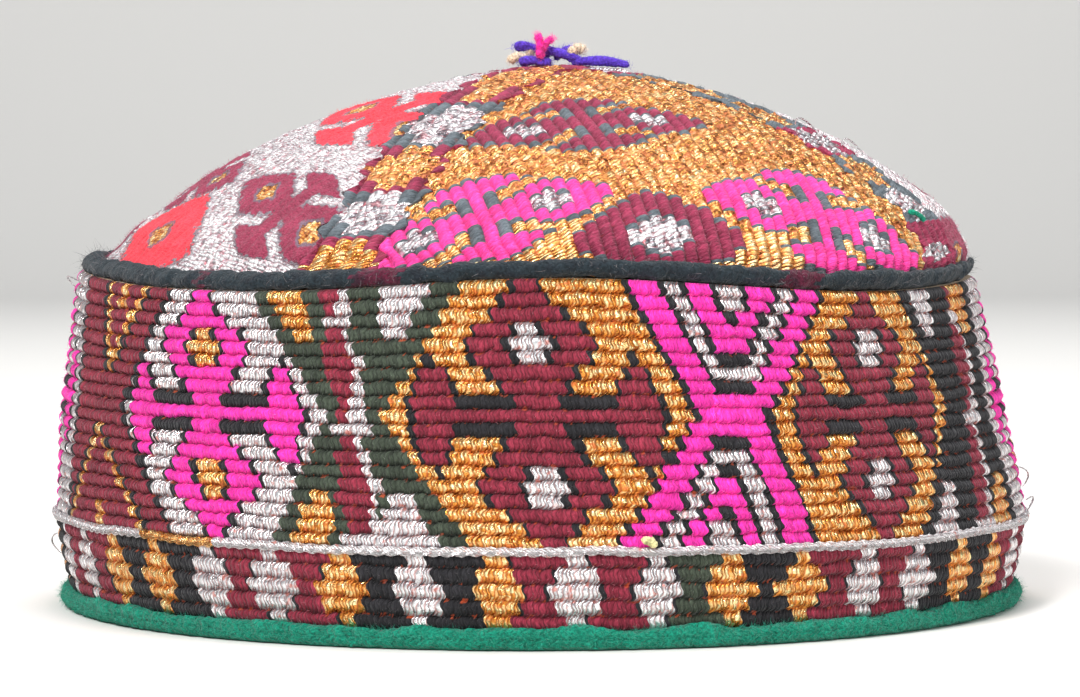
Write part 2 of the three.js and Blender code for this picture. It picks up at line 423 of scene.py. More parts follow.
# wool motifs felted into silver thread: the piece's motif attribute says how far out of a motif
# and of its eye a place lies, and which dye the motif has
def makeFeltedCloth(name, dyes, edging, look):
    material, tree, shader = newMaterial(name)
    wound = windThread(tree, 0.8, look["wraps"])
    silver, silverHeight = windMetal(tree, wound, feltedSilver, srgb(208, 92, 108), look)[::2]
    gold = windMetal(tree, wound, goldTones, srgb(226, 112, 52), look)[0]
    place = objectPlace(tree)
    tangle = noiseAt(tree, place, 1 / (1.1 * mm), 4.0)
    fine = noiseAt(tree, place, 1 / (0.35 * mm), 3.0)
    motif = addNode(tree, "Attribute", {"attribute_name": "motif"}).outputs["Color"]
    split = addNode(tree, "SeparateColor", inputs={0: motif}).outputs
    stray = mapped(tree, tangle, 0.2, 0.8, -0.22, 0.22)
    reach = plus(tree, times(tree, split[0], motifReach), stray)
    eye = plus(tree, times(tree, split[1], motifReach), stray)
    isWool = mapped(tree, reach, 0.96, 1.04, 1, 0)
    isEdging = times(tree, mapped(tree, reach, 1.08, 1.18, 1, 0), mapped(tree, tangle, 0.4, 0.55, 0.2, 0.9))
    isEye = mapped(tree, eye, 0.92, 1.02, 1, 0)
    roundEye = mapped(tree, eye, 1.2, 1.34, 0.8, 0)
    shade = times(tree, fromNoise(tree, fine, 0.66, 1.3), fading(tree, 4, 0.78, 1.16))
    dyed = shaded(tree, mixColour(tree, split[2], dyes[0], dyes[1]), shade)
    edged = shaded(tree, edging, shade)
    cloth = mixColour(tree, isWool, mixColour(tree, isEdging, silver, edged), dyed)
    isMetal = largest(tree, minus(tree, 1.0, largest(tree, isWool, isEdging)), isEye)
    felt = plus(tree, fine, times(tree, tangle, 2.0))
    relief = plus(tree, times(tree, silverHeight, isMetal), minus(tree, felt, times(tree, felt, isMetal)))
    sockets = {
        "Base Color": mixColour(tree, isEye, mixColour(tree, roundEye, cloth, edged), gold),
        "Metallic": times(tree, isMetal, look["metal"]),
        "Roughness": mapped(tree, isMetal, 0, 1, 0.95, 0.36),
        "Specular IOR Level": 0.2,
        "Sheen Weight": 0.12,
    }
    finishShader(tree, shader, sockets, relief)
    return material


# plain-woven cotton on the inside
def makeCotton(name, colour):
    material, tree, shader = newMaterial(name)
    yarnAt = {"Vector": objectPlace(tree), "Scale": 420.0, "Distortion": 1.5}
    yarns = [addNode(tree, "TexWave", {"bands_direction": way}, yarnAt).outputs["Fac"] for way in "ZX"]
    height = largest(tree, *yarns)
    # the weave's low places are painted darker, as painted shade between the yarns; the fading is the
    # cotton's own
    shade = times(tree, mapped(tree, height, 0, 1, 0.8, 1.05), fading(tree, 9, 0.85, 1.1))
    sockets = {"Base Color": shaded(tree, colour, shade), "Roughness": 0.95, "Sheen Weight": 0.15}
    finishShader(tree, shader, sockets, height, 0.2, 0.4)
    return material


# dark, middle and bright tone of a metal strip: painted shade, its own colour and painted glint
goldTones = [(0.2, 0.05, 0.008, 1), (0.85, 0.33, 0.058, 1), (1.0, 0.88, 0.45, 1)]
crownGold = [(0.26, 0.07, 0.014, 1), (0.92, 0.41, 0.1, 1), (1.0, 0.8, 0.42, 1)]
silverTones = [(0.15, 0.13, 0.15, 1), (0.68, 0.67, 0.69, 1), (1.0, 1.0, 1.0, 1)]
brightSilver = [(0.36, 0.35, 0.37, 1), (0.9, 0.9, 0.92, 1), (1.0, 1.0, 1.0, 1)]
feltedSilver = [(0.42, 0.36, 0.39, 1), (0.86, 0.84, 0.85, 1), (1.0, 1.0, 1.0, 1)]
# wraps in a millimetre, how worn and rough the strip is, and in crushed work the size of its beads
# crest sets the strength of the painted highlight along a row's crest, and crumple both bumps the strip and
# paints glints into it
goldWound = {
    "wraps": 1.5, "worn": 0.05, "core": 0.6, "crumple": 1.0, "crest": 0.36, "tilt": 2.6, "metal": 0.84,
}
silverWound = {
    "wraps": 1.45, "worn": 0.045, "core": 0.58, "crumple": 0.5, "crest": 0.45, "tilt": 2.0, "metal": 0.75,
}
goldCoiled = {
    "wraps": 1.35, "worn": 0.05, "core": 0.6, "crumple": 0.6, "crest": 0.5, "tilt": 1.6, "metal": 0.8,
}
crushed = {
    "wraps": 1.05, "worn": 0.09, "core": 0.5, "crumple": 1.4, "crest": 0.2, "tilt": 2.4, "metal": 0.8,
    "bead": 1.25, "swell": 2.4,
}
silverCrushed = {**crushed, "worn": -0.02, "core": 0.35, "metal": 0.6}
feltedIn = {
    "wraps": 1.5, "worn": 0.0, "core": 0.4, "crumple": 1.0, "crest": 0.34, "tilt": 1.2, "metal": 0.3,
    "bead": 0.95, "swell": 2.6,
}

# one letter for each thread in the charts
threads = {
    "m": makeWoolThread("maroonWool", srgb(144, 50, 67), valleyShade=0.56),
    "p": makeWoolThread("pinkWool", srgb(255, 58, 176), 0.8, 0.2, 0.86),
    "k": makeWoolThread("blackWool", srgb(45, 44, 47)),
    "v": makeWoolThread("bottleGreenWool", srgb(68, 76, 64)),
    # the crown's maroon is faded and felted, and also painted lighter for the stronger light that falls on
    # the crown from above
    "b": makeWoolThread("fadedMaroonWoolPaintedLighter", srgb(150, 56, 82), 0.4, 0.1, 0.62),
    "h": makeWoolThread("crownPinkWool", srgb(255, 72, 160), 0.4, 0.1, 0.82),
    "q": makeWoolThread("slateWool", srgb(98, 106, 112), 0.4, 0.1, 0.66),
    "g": makeMetalThread("goldThread", goldTones, srgb(220, 104, 46), goldWound),
    "s": makeMetalThread("silverThread", silverTones, srgb(206, 108, 92), silverWound),
    "c": makeMetalThread("coiledGoldThread", crownGold, srgb(226, 116, 60), goldCoiled),
    "d": makeMetalThread("crushedGoldThread", crownGold, srgb(234, 134, 84), crushed),
    "w": makeMetalThread("crushedSilverThread", silverTones, srgb(208, 96, 104), silverCrushed),
}
feltedDyes = [srgb(146, 56, 80), srgb(238, 66, 80)]  # faded maroon, painted lighter for the light on the crown, and coral red
feltedCloth = makeFeltedCloth("feltedCloth", feltedDyes, srgb(112, 104, 116), feltedIn)
cotton = makeCotton("undyedCotton", srgb(196, 170, 140))
print("threads ready", len(threads))


def gridStart(xSteps, ySteps):
    bm = bmesh.new()
    bmesh.ops.create_grid(bm, x_segments=xSteps, y_segments=ySteps, size=1)
    return bm


def asMesh(bm, name):
    mesh = bpy.data.meshes.new(name)
    bm.to_mesh(mesh)
    bm.free()
    flat = np.empty(len(mesh.vertices) * 3)
    mesh.vertices.foreach_get("co", flat)
    loops = np.empty(len(mesh.loops), dtype=np.int64)
    mesh.loops.foreach_get("vertex_index", loops)
    return mesh, flat.reshape(-1, 3), loops


def setUv(mesh, name, perLoop):
    layer = mesh.uv_layers.new(name=name)
    layer.data.foreach_set("uv", np.ascontiguousarray(perLoop, dtype=np.float32).ravel())


# sets places and threads on a flat mesh, closes it and hands back the piece
def finishPiece(name, mesh, places, slots, materials, sharp=70):
    mesh.vertices.foreach_set("co", np.ascontiguousarray(places, dtype=np.float32).ravel())
    for material in materials:
        mesh.materials.append(material)
    mesh.polygons.foreach_set("material_index", np.ascontiguousarray(slots, dtype=np.int32))
    bm = bmesh.new()
    bm.from_mesh(mesh)
    bmesh.ops.remove_doubles(bm, verts=bm.verts, dist=2e-6)
    bmesh.ops.recalc_face_normals(bm, faces=bm.faces)
    bm.to_mesh(mesh)
    bm.free()
    mesh.polygons.foreach_set("use_smooth", np.ones(len(mesh.polygons), dtype=bool))
    mesh.set_sharp_from_angle(angle=math.radians(sharp))
    piece = bpy.data.objects.new(name, mesh)
    bpy.context.scene.collection.objects.link(piece)
    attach(piece, "root")
    mesh.calc_loop_triangles()
    print("made", name, len(mesh.loop_triangles), "triangles")
    return piece


# a ring rolled up from a flat grid: outline points are radius, height and row, from the outside round
def rollRing(name, outline, columns, paint, materials, shape=None, strips=3):
    outline = np.array(outline + [outline[0]], dtype=float)
    steps = len(outline) - 1
    mesh, flat, loops = asMesh(gridStart(columns, steps), name)
    column = np.rint((flat[:, 0] + 1) / 2 * columns).astype(int)
    step = np.rint((flat[:, 1] + 1) / 2 * steps).astype(int)
    azimuth = column / columns * 2 * math.pi - math.pi
    radius, height = outline[step, 0].copy(), outline[step, 1].copy()
    if shape:
        radius, azimuth, height = shape(column % columns, step % steps, azimuth, radius, height)
    places = standing(radius, azimuth, height)
    corners = loops.reshape(-1, 4)
    faceColumn, faceStep = column[corners].min(axis=1), step[corners].min(axis=1)
    slots = paint(faceColumn, faceStep)
    around = column[loops] / columns * 2 * math.pi * capForm["widestRadius"]
    setUv(mesh, "stitch", np.stack([around, outline[step[loops], 2]], axis=-1))
    lengths = np.concatenate([[0], np.cumsum(np.hypot(np.diff(outline[:, 0]), np.diff(outline[:, 1])))])
    strip = np.minimum(faceColumn * strips // columns, strips - 1).repeat(4)
    across = column[loops] / columns * strips - strip
    up = (strip + 0.01 + 0.98 * lengths[step[loops]] / lengths[-1]) / strips
    setUv(mesh, "OFBake", np.stack([across, up], axis=-1))
    return finishPiece(name, mesh, places, slots, materials)


def parseRuns(lines):
    return [[(run[0], float(run[1:])) for run in line.split()] for line in lines]


# half of the crossed double diamond, row by row from its tip to its waist:
# each run is a thread and the cell from the centre line where it ends; g is the ground
crossChart = parseRuns([
    "m1.8 k2.5",
    "m3.1 k4.0",
    "m5.3 k6.2",
    "e2.0 k3.1 m8.2 k9.2",
    "e3.5 k4.4 m9.7 k10.5",
    "e2.0 k3.4 m8.4 k9.2 g15.4 k16.7",
    "m6.3 k7.5 g13.4 k14.3 m17.3 k18.2",
    "m4.8 k6.0 g12.1 k13.1 m18.0 k18.8",
    "m3.2 k12.4 m18.7 k19.5",
    "m19.0 k20.1",
])

# the crown's cross has fuller arms
crownCrossChart = parseRuns([
    "m2.4 k3.8",
    "m5.0 k6.4",
    "m7.6 k9.0",
    "e2.2 k3.6 m9.2 k10.6",
    "e4.4 k5.8 m10.2 k11.6",
    "e2.6 k4.2 m8.6 k10.0 g13.6 k15.0",
    "m6.4 k8.0 g12.2 k13.4 m16.6 k18.0",
    "m4.8 k6.4 g11.4 k12.6 m18.4 k19.8",
    "m3.6 k11.4 m19.4 k20.8",
    "m20.4 k21.8",
])

# half of the single diamond with an eye, from its tip to its waist
diamondChart = parseRuns([
    "m3.4 k4.8",
    "m6.6 k8.0",
    "m9.4 k10.8",
    "m12.0 k13.4",
    "e2.6 k4.2 m14.4 k15.8",
    "e5.6 k7.2 m16.4 k17.8",
    "e7.4 k9.0 m17.6 k19.0",
])


# the thread of a chart at a row counted from its tip and a cell from its centre line, or None outside it
def chartThread(chart, row, cell):
    fromTip = min(row, 2 * len(chart) - 2 - row)
    if fromTip < 0:
        return None
    for thread, end in chart[fromTip]:
        if abs(cell) <= end:
            return thread
    return None


# the side band: hexagons with their left edge, motif's middle and right edge in degrees,
# each at the top row, the waist and the bottom row; motif, ground and eye; what fills the space to the right
sideBand = {
    "rows": 19,
    "columns": 840,
    "rowSteps": 5,
    "relief": 0.8,
    "cell": 0.9,  # degrees of a cell between the hexagons
    "shelf": {"thick": 1.6, "slope": 2, "fall": 0.3},  # the edge turned in under the crown
    "hexagons": tableOf("left middle right cell threads fill fillThreads stripeAt", [
        ((-165, -174, -165), (-157, -157, -157), (-149, -140, -149), 0.72, "mgs", "cross", "psk"),
        (
            (-128, -136, -128), (-120, -120, -120), (-112, -104.5, -112), 0.7, "mgs", "stripe", "kgs",
            (0, 0, 0),
        ),
        ((-95, -99, -95), (-84, -84, -84), (-72, -69, -71.5), 0.62, "psg", "chevron", "mgk", (2, 1, -2)),
        (
            (-47.7, -55, -44.9), (-42, -39.7, -37.9), (-33.6, -23.3, -29.8), 0.7, "psg", "stripe", "vgs",
            (-2.9, -1, -1.1),
        ),
        ((-7.9, -16.8, -7.6), (-0.3, 0.6, 1.3), (11.3, 18.1, 8.0), 0.726, "mgs", "cross", "psk"),
        (
            (37.4, 27.7, 31.2), (43.9, 42.2, 41), (51.1, 56.1, 47.3), 0.587, "mgs", "stripe", "ksg",
            (2, 0, 0),
        ),
        ((73, 69, 73), (84, 84, 84), (95, 99, 95), 0.62, "psg", "chevron", "mgk", (0, 0, 0)),
        ((111, 104, 111), (119, 119, 119), (127, 134, 127), 0.66, "mgs", "stripe", "vgs", (0, 0, 0)),
        ((147, 139, 147), (154, 154, 154), (161, 169, 161), 0.64, "psg", "stripe", "ksg", (0, 0, 0)),
    ]),
    # bands of a cross from its hexagon inwards: where each ends in cells, and in rows from the waist
    "crossBands": [("arm", 4.5, 1), ("outline", 5.4, 2), ("line", 7.3, 3), ("outline", 8.2, 4)],
    # silver and its outline in the open ends of a cross, half widths in cells by rows from the waist
    "openEnds": {7: (0, 1.0), 8: (1.4, 2.3), 9: (1.8, 2.7)},
    # chevrons: row of the tip and degrees that they open by a row, above and below the waist;
    # the rows filled at both ends, and half widths in degrees
    "chevron": {
        "upper": (6, 0.76), "lower": (11, 1.35), "endRows": 2, "endHalf": 1.1, "line": 0.75, "outline": 1.5,
    },
    # half width of the maroon stripe and width of the dashes beside it, in cells row by row
    "stripeHalf": [
        1.2, 0.9, 0, 1.1, 1.7, 2.0, 2.2, 1.6, 0.9, 0.7, 0, 1.0, 1.4, 1.7, 1.9, 2.3, 1.8, 1.5, 0,
    ],
    "dashWidth": [
        1.8, 2.2, 2.7, 0.8, 1.1, 1.6, 1.0, 1.8, 1.6, 2.2, 3.8, 1.1, 1.6, 1.0, 1.8, 0.7, 1.1, 1.6, 4.2,
    ],
    # blocks in the corners of the stripe's ground, start and end from the hexagon by rows from the end
    "leftBlock": [(2.2, 7.4), (2.2, 7.0), (2.0, 6.0), (2.4, 5.0)],
    "rightBlock": [(3.4, 10.0), (3.6, 9.4), (3.6, 8.0), (3.0, 6.4)],
}
waistRow, lastRow = sideBand["rows"] // 2, sideBand["rows"] - 1
random = np.random.default_rng(11)
patchDegrees = 4  # a row keeps its unevenness for as long
chartOutline = 0.9  # cells of black beside a hexagon
rowUneven = random.normal(0, 0.3, (sideBand["rows"], 360 // patchDegrees))


# nested arms of the cross that fills between two hexagons, by cells from the nearer hexagon and the middle
def crossFill(row, edge, middle, threads):
    arm, line, outline = threads
    fromWaist = abs(row - waistRow)
    if edge < chartOutline:
        return outline
    for thread, end, rows in sideBand["crossBands"]:
        if edge < end or fromWaist <= rows:
            return {"arm": arm, "line": line, "outline": outline}[thread]
    core, rim = sideBand["openEnds"].get(fromWaist, (0, 0))
    return line if middle < core else outline if middle < rim else arm


# a maroon stripe with dashes beside it, and blocks in the corners
def stripeFill(row, fromLeft, fromRight, shift, threads):
    ground, leftBlock, rightBlock = threads
    fromEnd = min(row, lastRow - row)
    if fromEnd < len(sideBand["leftBlock"]):
        start, end = sideBand["leftBlock"][fromEnd]
        if start < fromLeft < end:
            return leftBlock
        start, end = sideBand["rightBlock"][fromEnd]
        if start < fromRight < end:
            return rightBlock
    offset = (fromLeft - fromRight) / 2 - shift
    half, dash = sideBand["stripeHalf"][row], sideBand["dashWidth"][row]
    if abs(offset) < half:
        return "m"
    if half == 0 and abs(offset) < dash / 2:
        return "s"
    return "s" if 0 < offset - half < dash else ground


# thin chevrons that open towards the top and the bottom, by degrees from the space's middle
def chevronFill(row, edge, offset, threads):
    ground, line, outline = threads
    if edge < chartOutline:
        return outline
    chevron = sideBand["chevron"]
    tip, slope = chevron["upper" if row < waistRow else "lower"]
    opened = slope * (tip - row if row < waistRow else row - tip)
    if min(row, lastRow - row) < chevron["endRows"] and abs(offset) < chevron["endHalf"]:
        return line
    past = abs(offset) - opened
    if opened < 0 or past < -chevron["line"] or past > chevron["outline"]:
        return ground
    return line if past < chevron["line"] else outline


def atRow(values, row):
    return float(np.interp(row, (0, waistRow, lastRow), values))


def bandThread(row, azimuth):
    hexagons = sideBand["hexagons"]
    uneven = rowUneven[row, int((azimuth + 180) / patchDegrees) % rowUneven.shape[1]]
    for i, unit in enumerate(hexagons):
        left, right = atRow(unit["left"], row), atRow(unit["right"], row)
        turned = (azimuth - left) % 360
        if turned <= right - left:
            place = (turned + left - atRow(unit["middle"], row)) / unit["cell"] + uneven
            motif, ground, eye = unit["threads"]
            thread = chartThread(crossChart, row, place)
            return {"m": motif, "g": ground, "e": eye, "k": "k", None: ground}[thread]
        after = hexagons[(i + 1) % len(hexagons)]
        width = (atRow(after["left"], row) - right) % 360
        past = (azimuth - right) % 360
        if past < width:
            cell = sideBand["cell"]
            fromLeft, fromRight = past / cell + uneven * 0.6, (width - past) / cell - uneven * 0.6
            if unit["fill"] == "cross":
                middle = abs(fromLeft - fromRight) / 2
                return crossFill(row, min(fromLeft, fromRight), middle, unit["fillThreads"])
            shift = atRow(unit["stripeAt"], row)
            if unit["fill"] == "chevron":
                offset = (fromLeft - fromRight) / 2 * cell - shift
                return chevronFill(row, min(fromLeft, fromRight), offset, unit["fillThreads"])
            return stripeFill(row, fromLeft, fromRight, shift / cell, unit["fillThreads"])
    return "k"


# outline of corded rows from the bottom up; the third value is the row counted from the top
def cordedOutline(bottom, top, rows, steps, relief):
    points = []
    for i in range(rows * steps + 1):
        height = bottom + (top - bottom) * i / (rows * steps)
        crest = math.sin(math.pi * (i % steps) / steps) ** 0.6
        points.append((float(wallRadius(height)) - relief * (1 - crest), height, rows - i / steps))
    return points


def innerOutline(bottom, top, steps):
    heights = np.linspace(top, bottom, steps + 1)
    return [(float(wallRadius(height)) - capForm["wall"], float(height), -1.0) for height in heights]


# a smooth uneven line round the cap
def unevenLine(noise, points, columns):
    values = noise.normal(0, 1, points)
    at = np.arange(columns) / columns * points
    low = at.astype(int)
    t = smoothStep(at - low)
    return values[low % points] * (1 - t) + values[(low + 1) % points] * t


# how much wraps differ, in millimetres and radians, how wool stands out and metal thread lies close,
# and a row's waves: how many points round the cap, and how strong
byHand = {
    "stand": 0.07, "reach": 0.13, "turn": 0.0016, "slant": 0.0035, "woolLift": 0.08, "metalLift": -0.04,
    "waves": [(70, 1), (190, 0.6)],
}
woolLetters = "mpkvbhq"


# every wrap stands a little differently, and rows wander as hand work does
def handWork(rows, steps, columns, seed, wander, liftOf):
    noise = np.random.default_rng(seed)
    wrapStand = noise.normal(0, byHand["stand"], (rows, columns))
    wrapReach = noise.normal(0, byHand["reach"], (rows + 1, columns))
    wrapTurn = noise.normal(0, byHand["turn"], (rows, columns))
    rowLines = []
    for i in range(rows + 1):
        waves = [share * unevenLine(noise, points, columns) for points, share in byHand["waves"]]
        rowLines.append(np.sum(waves, axis=0))
    lines = wander * np.stack(rowLines) + wrapReach
    lines[[0, -1]] = 0

    def shape(column, step, azimuth, radius, height):
        onRows = step <= rows * steps
        row = np.clip(step // steps, 0, rows - 1)
        t = np.where(onRows, step / steps - row, 0)
        crest = np.sin(math.pi * np.clip(t, 0, 1))
        swell = wrapStand[row, column] * (0.25 + crest) + liftOf[row, column] * crest
        turn = wrapTurn[row, column] * crest + byHand["slant"] * np.sin(2 * math.pi * t)
        drift = lines[row, column] * (1 - t) + lines[np.minimum(row + 1, rows), column] * t
        radius, azimuth = radius + np.where(onRows, swell, 0), azimuth + np.where(onRows, turn, 0)
        return radius, azimuth, height + np.where(onRows, drift, 0)

    return shape


def paintRows(rows, steps, columns, threadAt):
    letters = list(threads)
    chart = np.empty((rows, columns), dtype=int)
    for row in range(rows):
        for column in range(columns):
            chart[row, column] = letters.index(threadAt(row, (column + 0.5) / columns * 360 - 180))
    isWool = np.isin(chart, [letters.index(letter) for letter in woolLetters])

    def paint(column, step):
        row = rows - 1 - np.clip(step // steps, 0, rows - 1)
        return np.where(step < rows * steps, chart[row, column], len(letters))

    return paint, np.where(isWool, byHand["woolLift"], byHand["metalLift"])[::-1]


# corded rows rolled up round the cap, with a plain inside
def makeRows(name, band, bottom, top, inside, threadAt, seed, wander):
    rows, columns, steps = band["rows"], band["columns"], band["rowSteps"]
    outline = cordedOutline(bottom, top, rows, steps, band["relief"]) + inside
    paint, lift = paintRows(rows, steps, columns, threadAt)
    shape = handWork(rows, steps, columns, seed, wander, lift)
    return rollRing(name, outline, columns, paint, [*threads.values(), cotton], shape)


def makeSideBand():
    bottom, top = capForm["borderSeam"] + capForm["gap"] / 2, capForm["bandTop"]
    shelf, end = sideBand["shelf"], capForm["crownRadius"] - capForm["wall"]
    under = top - shelf["thick"]
    inside = [(end + shelf["slope"], top, -1), (end, top - shelf["fall"], -1), (end, under, -1)]
    inside += innerOutline(bottom, under, 3)
    return makeRows("side_band_rows", sideBand, bottom, top, inside, bandThread, 21, 0.12)


bandRows = makeSideBand()
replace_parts(bandRows, "side_band")

# the border: a diamond and the ground to its right for each letter, from the back round the left side
lowerBorder = {
    "rows": 5,
    "columns": 900,
    "rowSteps": 5,
    "relief": 0.7,
    "diamonds": "ssggssggssgg" + "ssggssgsgssggssggs" + "sggssggssggs",
    "grounds": "mmkkmmvvmmkk" + "mmkkmmkkmmvkmmkkmm" + "kkmmvvmmkkmm",
    "charted": 12,  # diamonds before the first one that the photograph shows
    "firstAzimuth": -73.3,
    "halfWidths": [1.6, 3.3, 4.6, 3.4, 1.6],
    "outline": 0.35,
    "slant": 0.12,  # degrees a row
    "tucked": 0.7,  # into the binding
}
borderUneven = random.normal(0, 0.35, (lowerBorder["rows"], len(lowerBorder["diamonds"]), 2))


def borderThread(row, azimuth):
    count = len(lowerBorder["diamonds"])
    pitch = 360 / count
    slant = lowerBorder["slant"] * (row - lowerBorder["rows"] // 2)
    place = (azimuth - lowerBorder["firstAzimuth"] - slant) / pitch + lowerBorder["charted"]
    nearest = math.floor(place + 0.5)
    away = abs(place - nearest) * math.radians(pitch) * capForm["widestRadius"]
    half = lowerBorder["halfWidths"][row] + borderUneven[row, nearest % count, int(place > nearest)]
    if away < half:
        return lowerBorder["diamonds"][nearest % count]
    if away < half + lowerBorder["outline"]:
        return "k"
    return lowerBorder["grounds"][math.floor(place) % count]


def makeLowerBorder():
    bottom = capForm["bindingHeight"] - lowerBorder["tucked"]
    top = capForm["borderSeam"] - capForm["gap"] / 2
    inside = innerOutline(bottom, top, 2)
    return makeRows("lower_border_rows", lowerBorder, bottom, top, inside, borderThread, 22, 0.1)


borderRows = makeLowerBorder()
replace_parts(borderRows, "lower_border")

# the crown: quarters in corded ribs that lie parallel to their middle, and a border of ribs along each seam
crown = {
    "ribPitch": 2.35,
    "ribSteps": 4,
    "wrap": 0.6,
    "thickness": 2.2,
    "seamHalf": 7.2,  # half the width of the border along a seam
    "seamSpare": 1.8,
    "seamWaver": [(1.2, 0.8, 0), (0.6, 2.1, 1)],  # width, turn in a millimetre and start of each wave
    "seamStart": 0.2,  # from the apex
    "seamRelief": 0.5,
    "goreRibs": 28,  # on each side of a gore's middle
    "cell": 0.56,
    "coiledBelow": 70,  # the gold ground is crushed above this height and coiled below
    "gores": {
        # motifs: degrees from the gore's middle, height, form, size, then wool and eye or dye
        "front": {"ground": "d", "relief": 0.6, "motifs": [
            {"turn": -3.4, "height": 68.2, "form": "diamond", "size": 1, "threads": "bw"},
            {"turn": -28.4, "height": 70.9, "form": "cross", "size": 1, "threads": "hw"},
            {"turn": 21.4, "height": 71.8, "form": "cross", "size": 1.08, "threads": "hw"},
            {"turn": -13.9, "height": 87.6, "form": "cross", "size": 1, "threads": "bw"},
        ]},
        "left": {"relief": 0.25, "motifs": [
            {"turn": 5.1, "height": 68.1, "form": "diamond", "size": 0.95, "dye": 1},
            {"turn": 29.6, "height": 73.4, "form": "cross", "size": 0.86, "dye": 0},
            {"turn": -8.0, "height": 77.6, "form": "cross", "size": 0.8, "dye": 0},
            {"turn": -18.0, "height": 65.0, "form": "diamond", "size": 0.6, "dye": 0},
            {"turn": 23.5, "height": 89.4, "form": "cross", "size": 1.12, "dye": 1},
        ]},
    },
    "diamondRibs": [0.1, 0.5, 0.92, 0.92, 0.5, 0.1],  # a diamond's reach on each rib of a seam's border
    # blocks of a seam's border from its base: height of its top, diamond and ground
    "seams": [
        [(68.5, "g", "b"), (76.0, "w", "q"), (83.8, "d", "b"), (91.2, "w", "q"), (99, "d", "b")],
        [
            (64.4, "b", "b"), (67.4, "w", "b"), (71.0, "b", "b"), (76.7, "w", "q"), (82.3, "d", "q"),
            (87.2, "w", "b"), (92.0, "d", "q"), (97.0, "d", "q"), (98.4, "w", "b"), (99, "b", "b"),
        ],
    ],
}
crown["gores"]["back"] = crown["gores"]["front"]
crown["gores"]["right"] = {"relief": 0.25, "motifs": [
    {"turn": -37.0, "height": 65.0, "form": "diamond", "size": 0.8, "dye": 0},
    *crown["gores"]["left"]["motifs"][:3],
    {"turn": 23.5, "height": 89.0, "form": "cross", "size": 0.94, "dye": 1},
]}
goreMiddles = {}
for goreNumber, goreName in enumerate(["front", "right", "back", "left"]):
    goreMiddles[goreName] = capForm["seamAzimuth"] + 45 + 90 * goreNumber


# half sizes of the felted forms in ribs and cells, and how far off the middle lobes and arms lie
feltedForms = {
    "diamond": (7.2, 19.0),
    "diamondEye": (1.7, 4.8),
    "lobe": (5.0, 12.4),
    "lobeEye": (1.5, 5.0),
    "lobeAt": 4.9,
    "bar": (1.0, 19.0),
    "arm": (3.3, 5.6),
    "armAt": 15.8,
}


def rounded(row, cell, form):
    ribs, cells = feltedForms[form]
    return (np.abs(row / ribs) ** 1.2 + np.abs(cell / cells) ** 1.2) ** (1 / 1.2)


# how far out of a felted motif and of its eye a place lies: 1 is on the edge
def feltedReach(form, row, cell):
    row, cell = np.abs(row), np.abs(cell)
    if form == "diamond":
        return rounded(row, cell, "diamond"), rounded(row, cell, "diamondEye")
    lobeRow, armCell = row - feltedForms["lobeAt"], cell - feltedForms["armAt"]
    ribs, cells = feltedForms["bar"]
    reach = np.minimum(rounded(lobeRow, cell, "lobe"), np.maximum(row / ribs, cell / cells))
    return np.minimum(reach, rounded(row, armCell, "arm")), rounded(lobeRow, cell, "lobeEye")


# puts points in order by layer, y and x, and faces by their points, so that every run gives the same mesh
def sortSlab(bm):
    bm.verts.index_update()
    places = np.array([vert.co[:] for vert in bm.verts])
    rank = np.argsort(np.lexsort(places.T))
    bm.verts.sort(key=lambda vert: rank[vert.index])
    bm.verts.index_update()
    count = len(places)

    def faceRank(face):
        indices = [vert.index for vert in face.verts]
        return min(indices) * count + max(indices)

    bm.faces.sort(key=faceRank)


# a flat slab of cloth: the grid's faces that lie inside, given a second layer
def slabMesh(name, xRange, yRange, xSteps, ySteps, isInside):
    bm = gridStart(xSteps, ySteps)
    for vert in bm.verts:
        vert.co.x = xRange[0] + (vert.co.x + 1) / 2 * (xRange[1] - xRange[0])
        vert.co.y = yRange[0] + (vert.co.y + 1) / 2 * (yRange[1] - yRange[0])
    flat = np.array([vert.co[:2] for vert in bm.verts])
    inside = isInside(flat[:, 0], flat[:, 1])
    bm.verts.index_update()
    outer = [face for face in bm.faces if not any(inside[vert.index] for vert in face.verts)]
    bmesh.ops.delete(bm, geom=outer, context="FACES")
    made = bmesh.ops.extrude_face_region(bm, geom=bm.faces[:])
    raised = [item for item in made["geom"] if isinstance(item, bmesh.types.BMVert)]
    bmesh.ops.translate(bm, verts=raised, vec=(0, 0, 1))
    sortSlab(bm)
    return asMesh(bm, name)


# sets a slab's maps: the outside has most of the baked map, the inside a strip below it;
# hands back the faces' corners and which faces show
def mapSlab(mesh, flat, loops, pitch):
    corners = loops.reshape(-1, 4)
    layers = flat[corners, 2]
    isEdge = layers.min(axis=1) != layers.max(axis=1)
    setUv(mesh, "stitch", np.stack([flat[loops, 1] + 200, flat[loops, 0] / pitch + 100], axis=-1))
    low, high = flat[:, :2].min(axis=0), flat[:, :2].max(axis=0)
    unit = (flat[loops, :2] - low) / (high - low) * 0.97 + 0.015
    onEdge, isOutside = isEdge.repeat(4), flat[loops, 2] > 0.5
    spread = np.where((onEdge & ~isOutside)[:, None], (unit - 0.5) * 1.02 + 0.5, unit)
    up = np.where(onEdge | isOutside, 0.23 + 0.76 * spread[:, 1], 0.01 + 0.19 * unit[:, 1])
    setUv(mesh, "OFBake", np.stack([spread[:, 0], up], axis=-1))
    return corners, isEdge | (layers.min(axis=1) > 0.5)


# the thread of every face that shows; the inside is cotton
def paintSlab(flat, corners, isShown, threadAt):
    letters = list(threads)
    slots = np.full(len(corners), len(letters))
    middles = flat[corners, :2].mean(axis=1)
    for i in np.flatnonzero(isShown):
        slots[i] = letters.index(threadAt(*middles[i]))
    isWool = np.array([threadAt(*point) in woolLetters for point in flat[:, :2]])
    return slots, isWool


def ribLift(across, relief):
    crest = np.abs(np.sin(math.pi * across)) ** 0.7
    return -relief * (1 - crest)


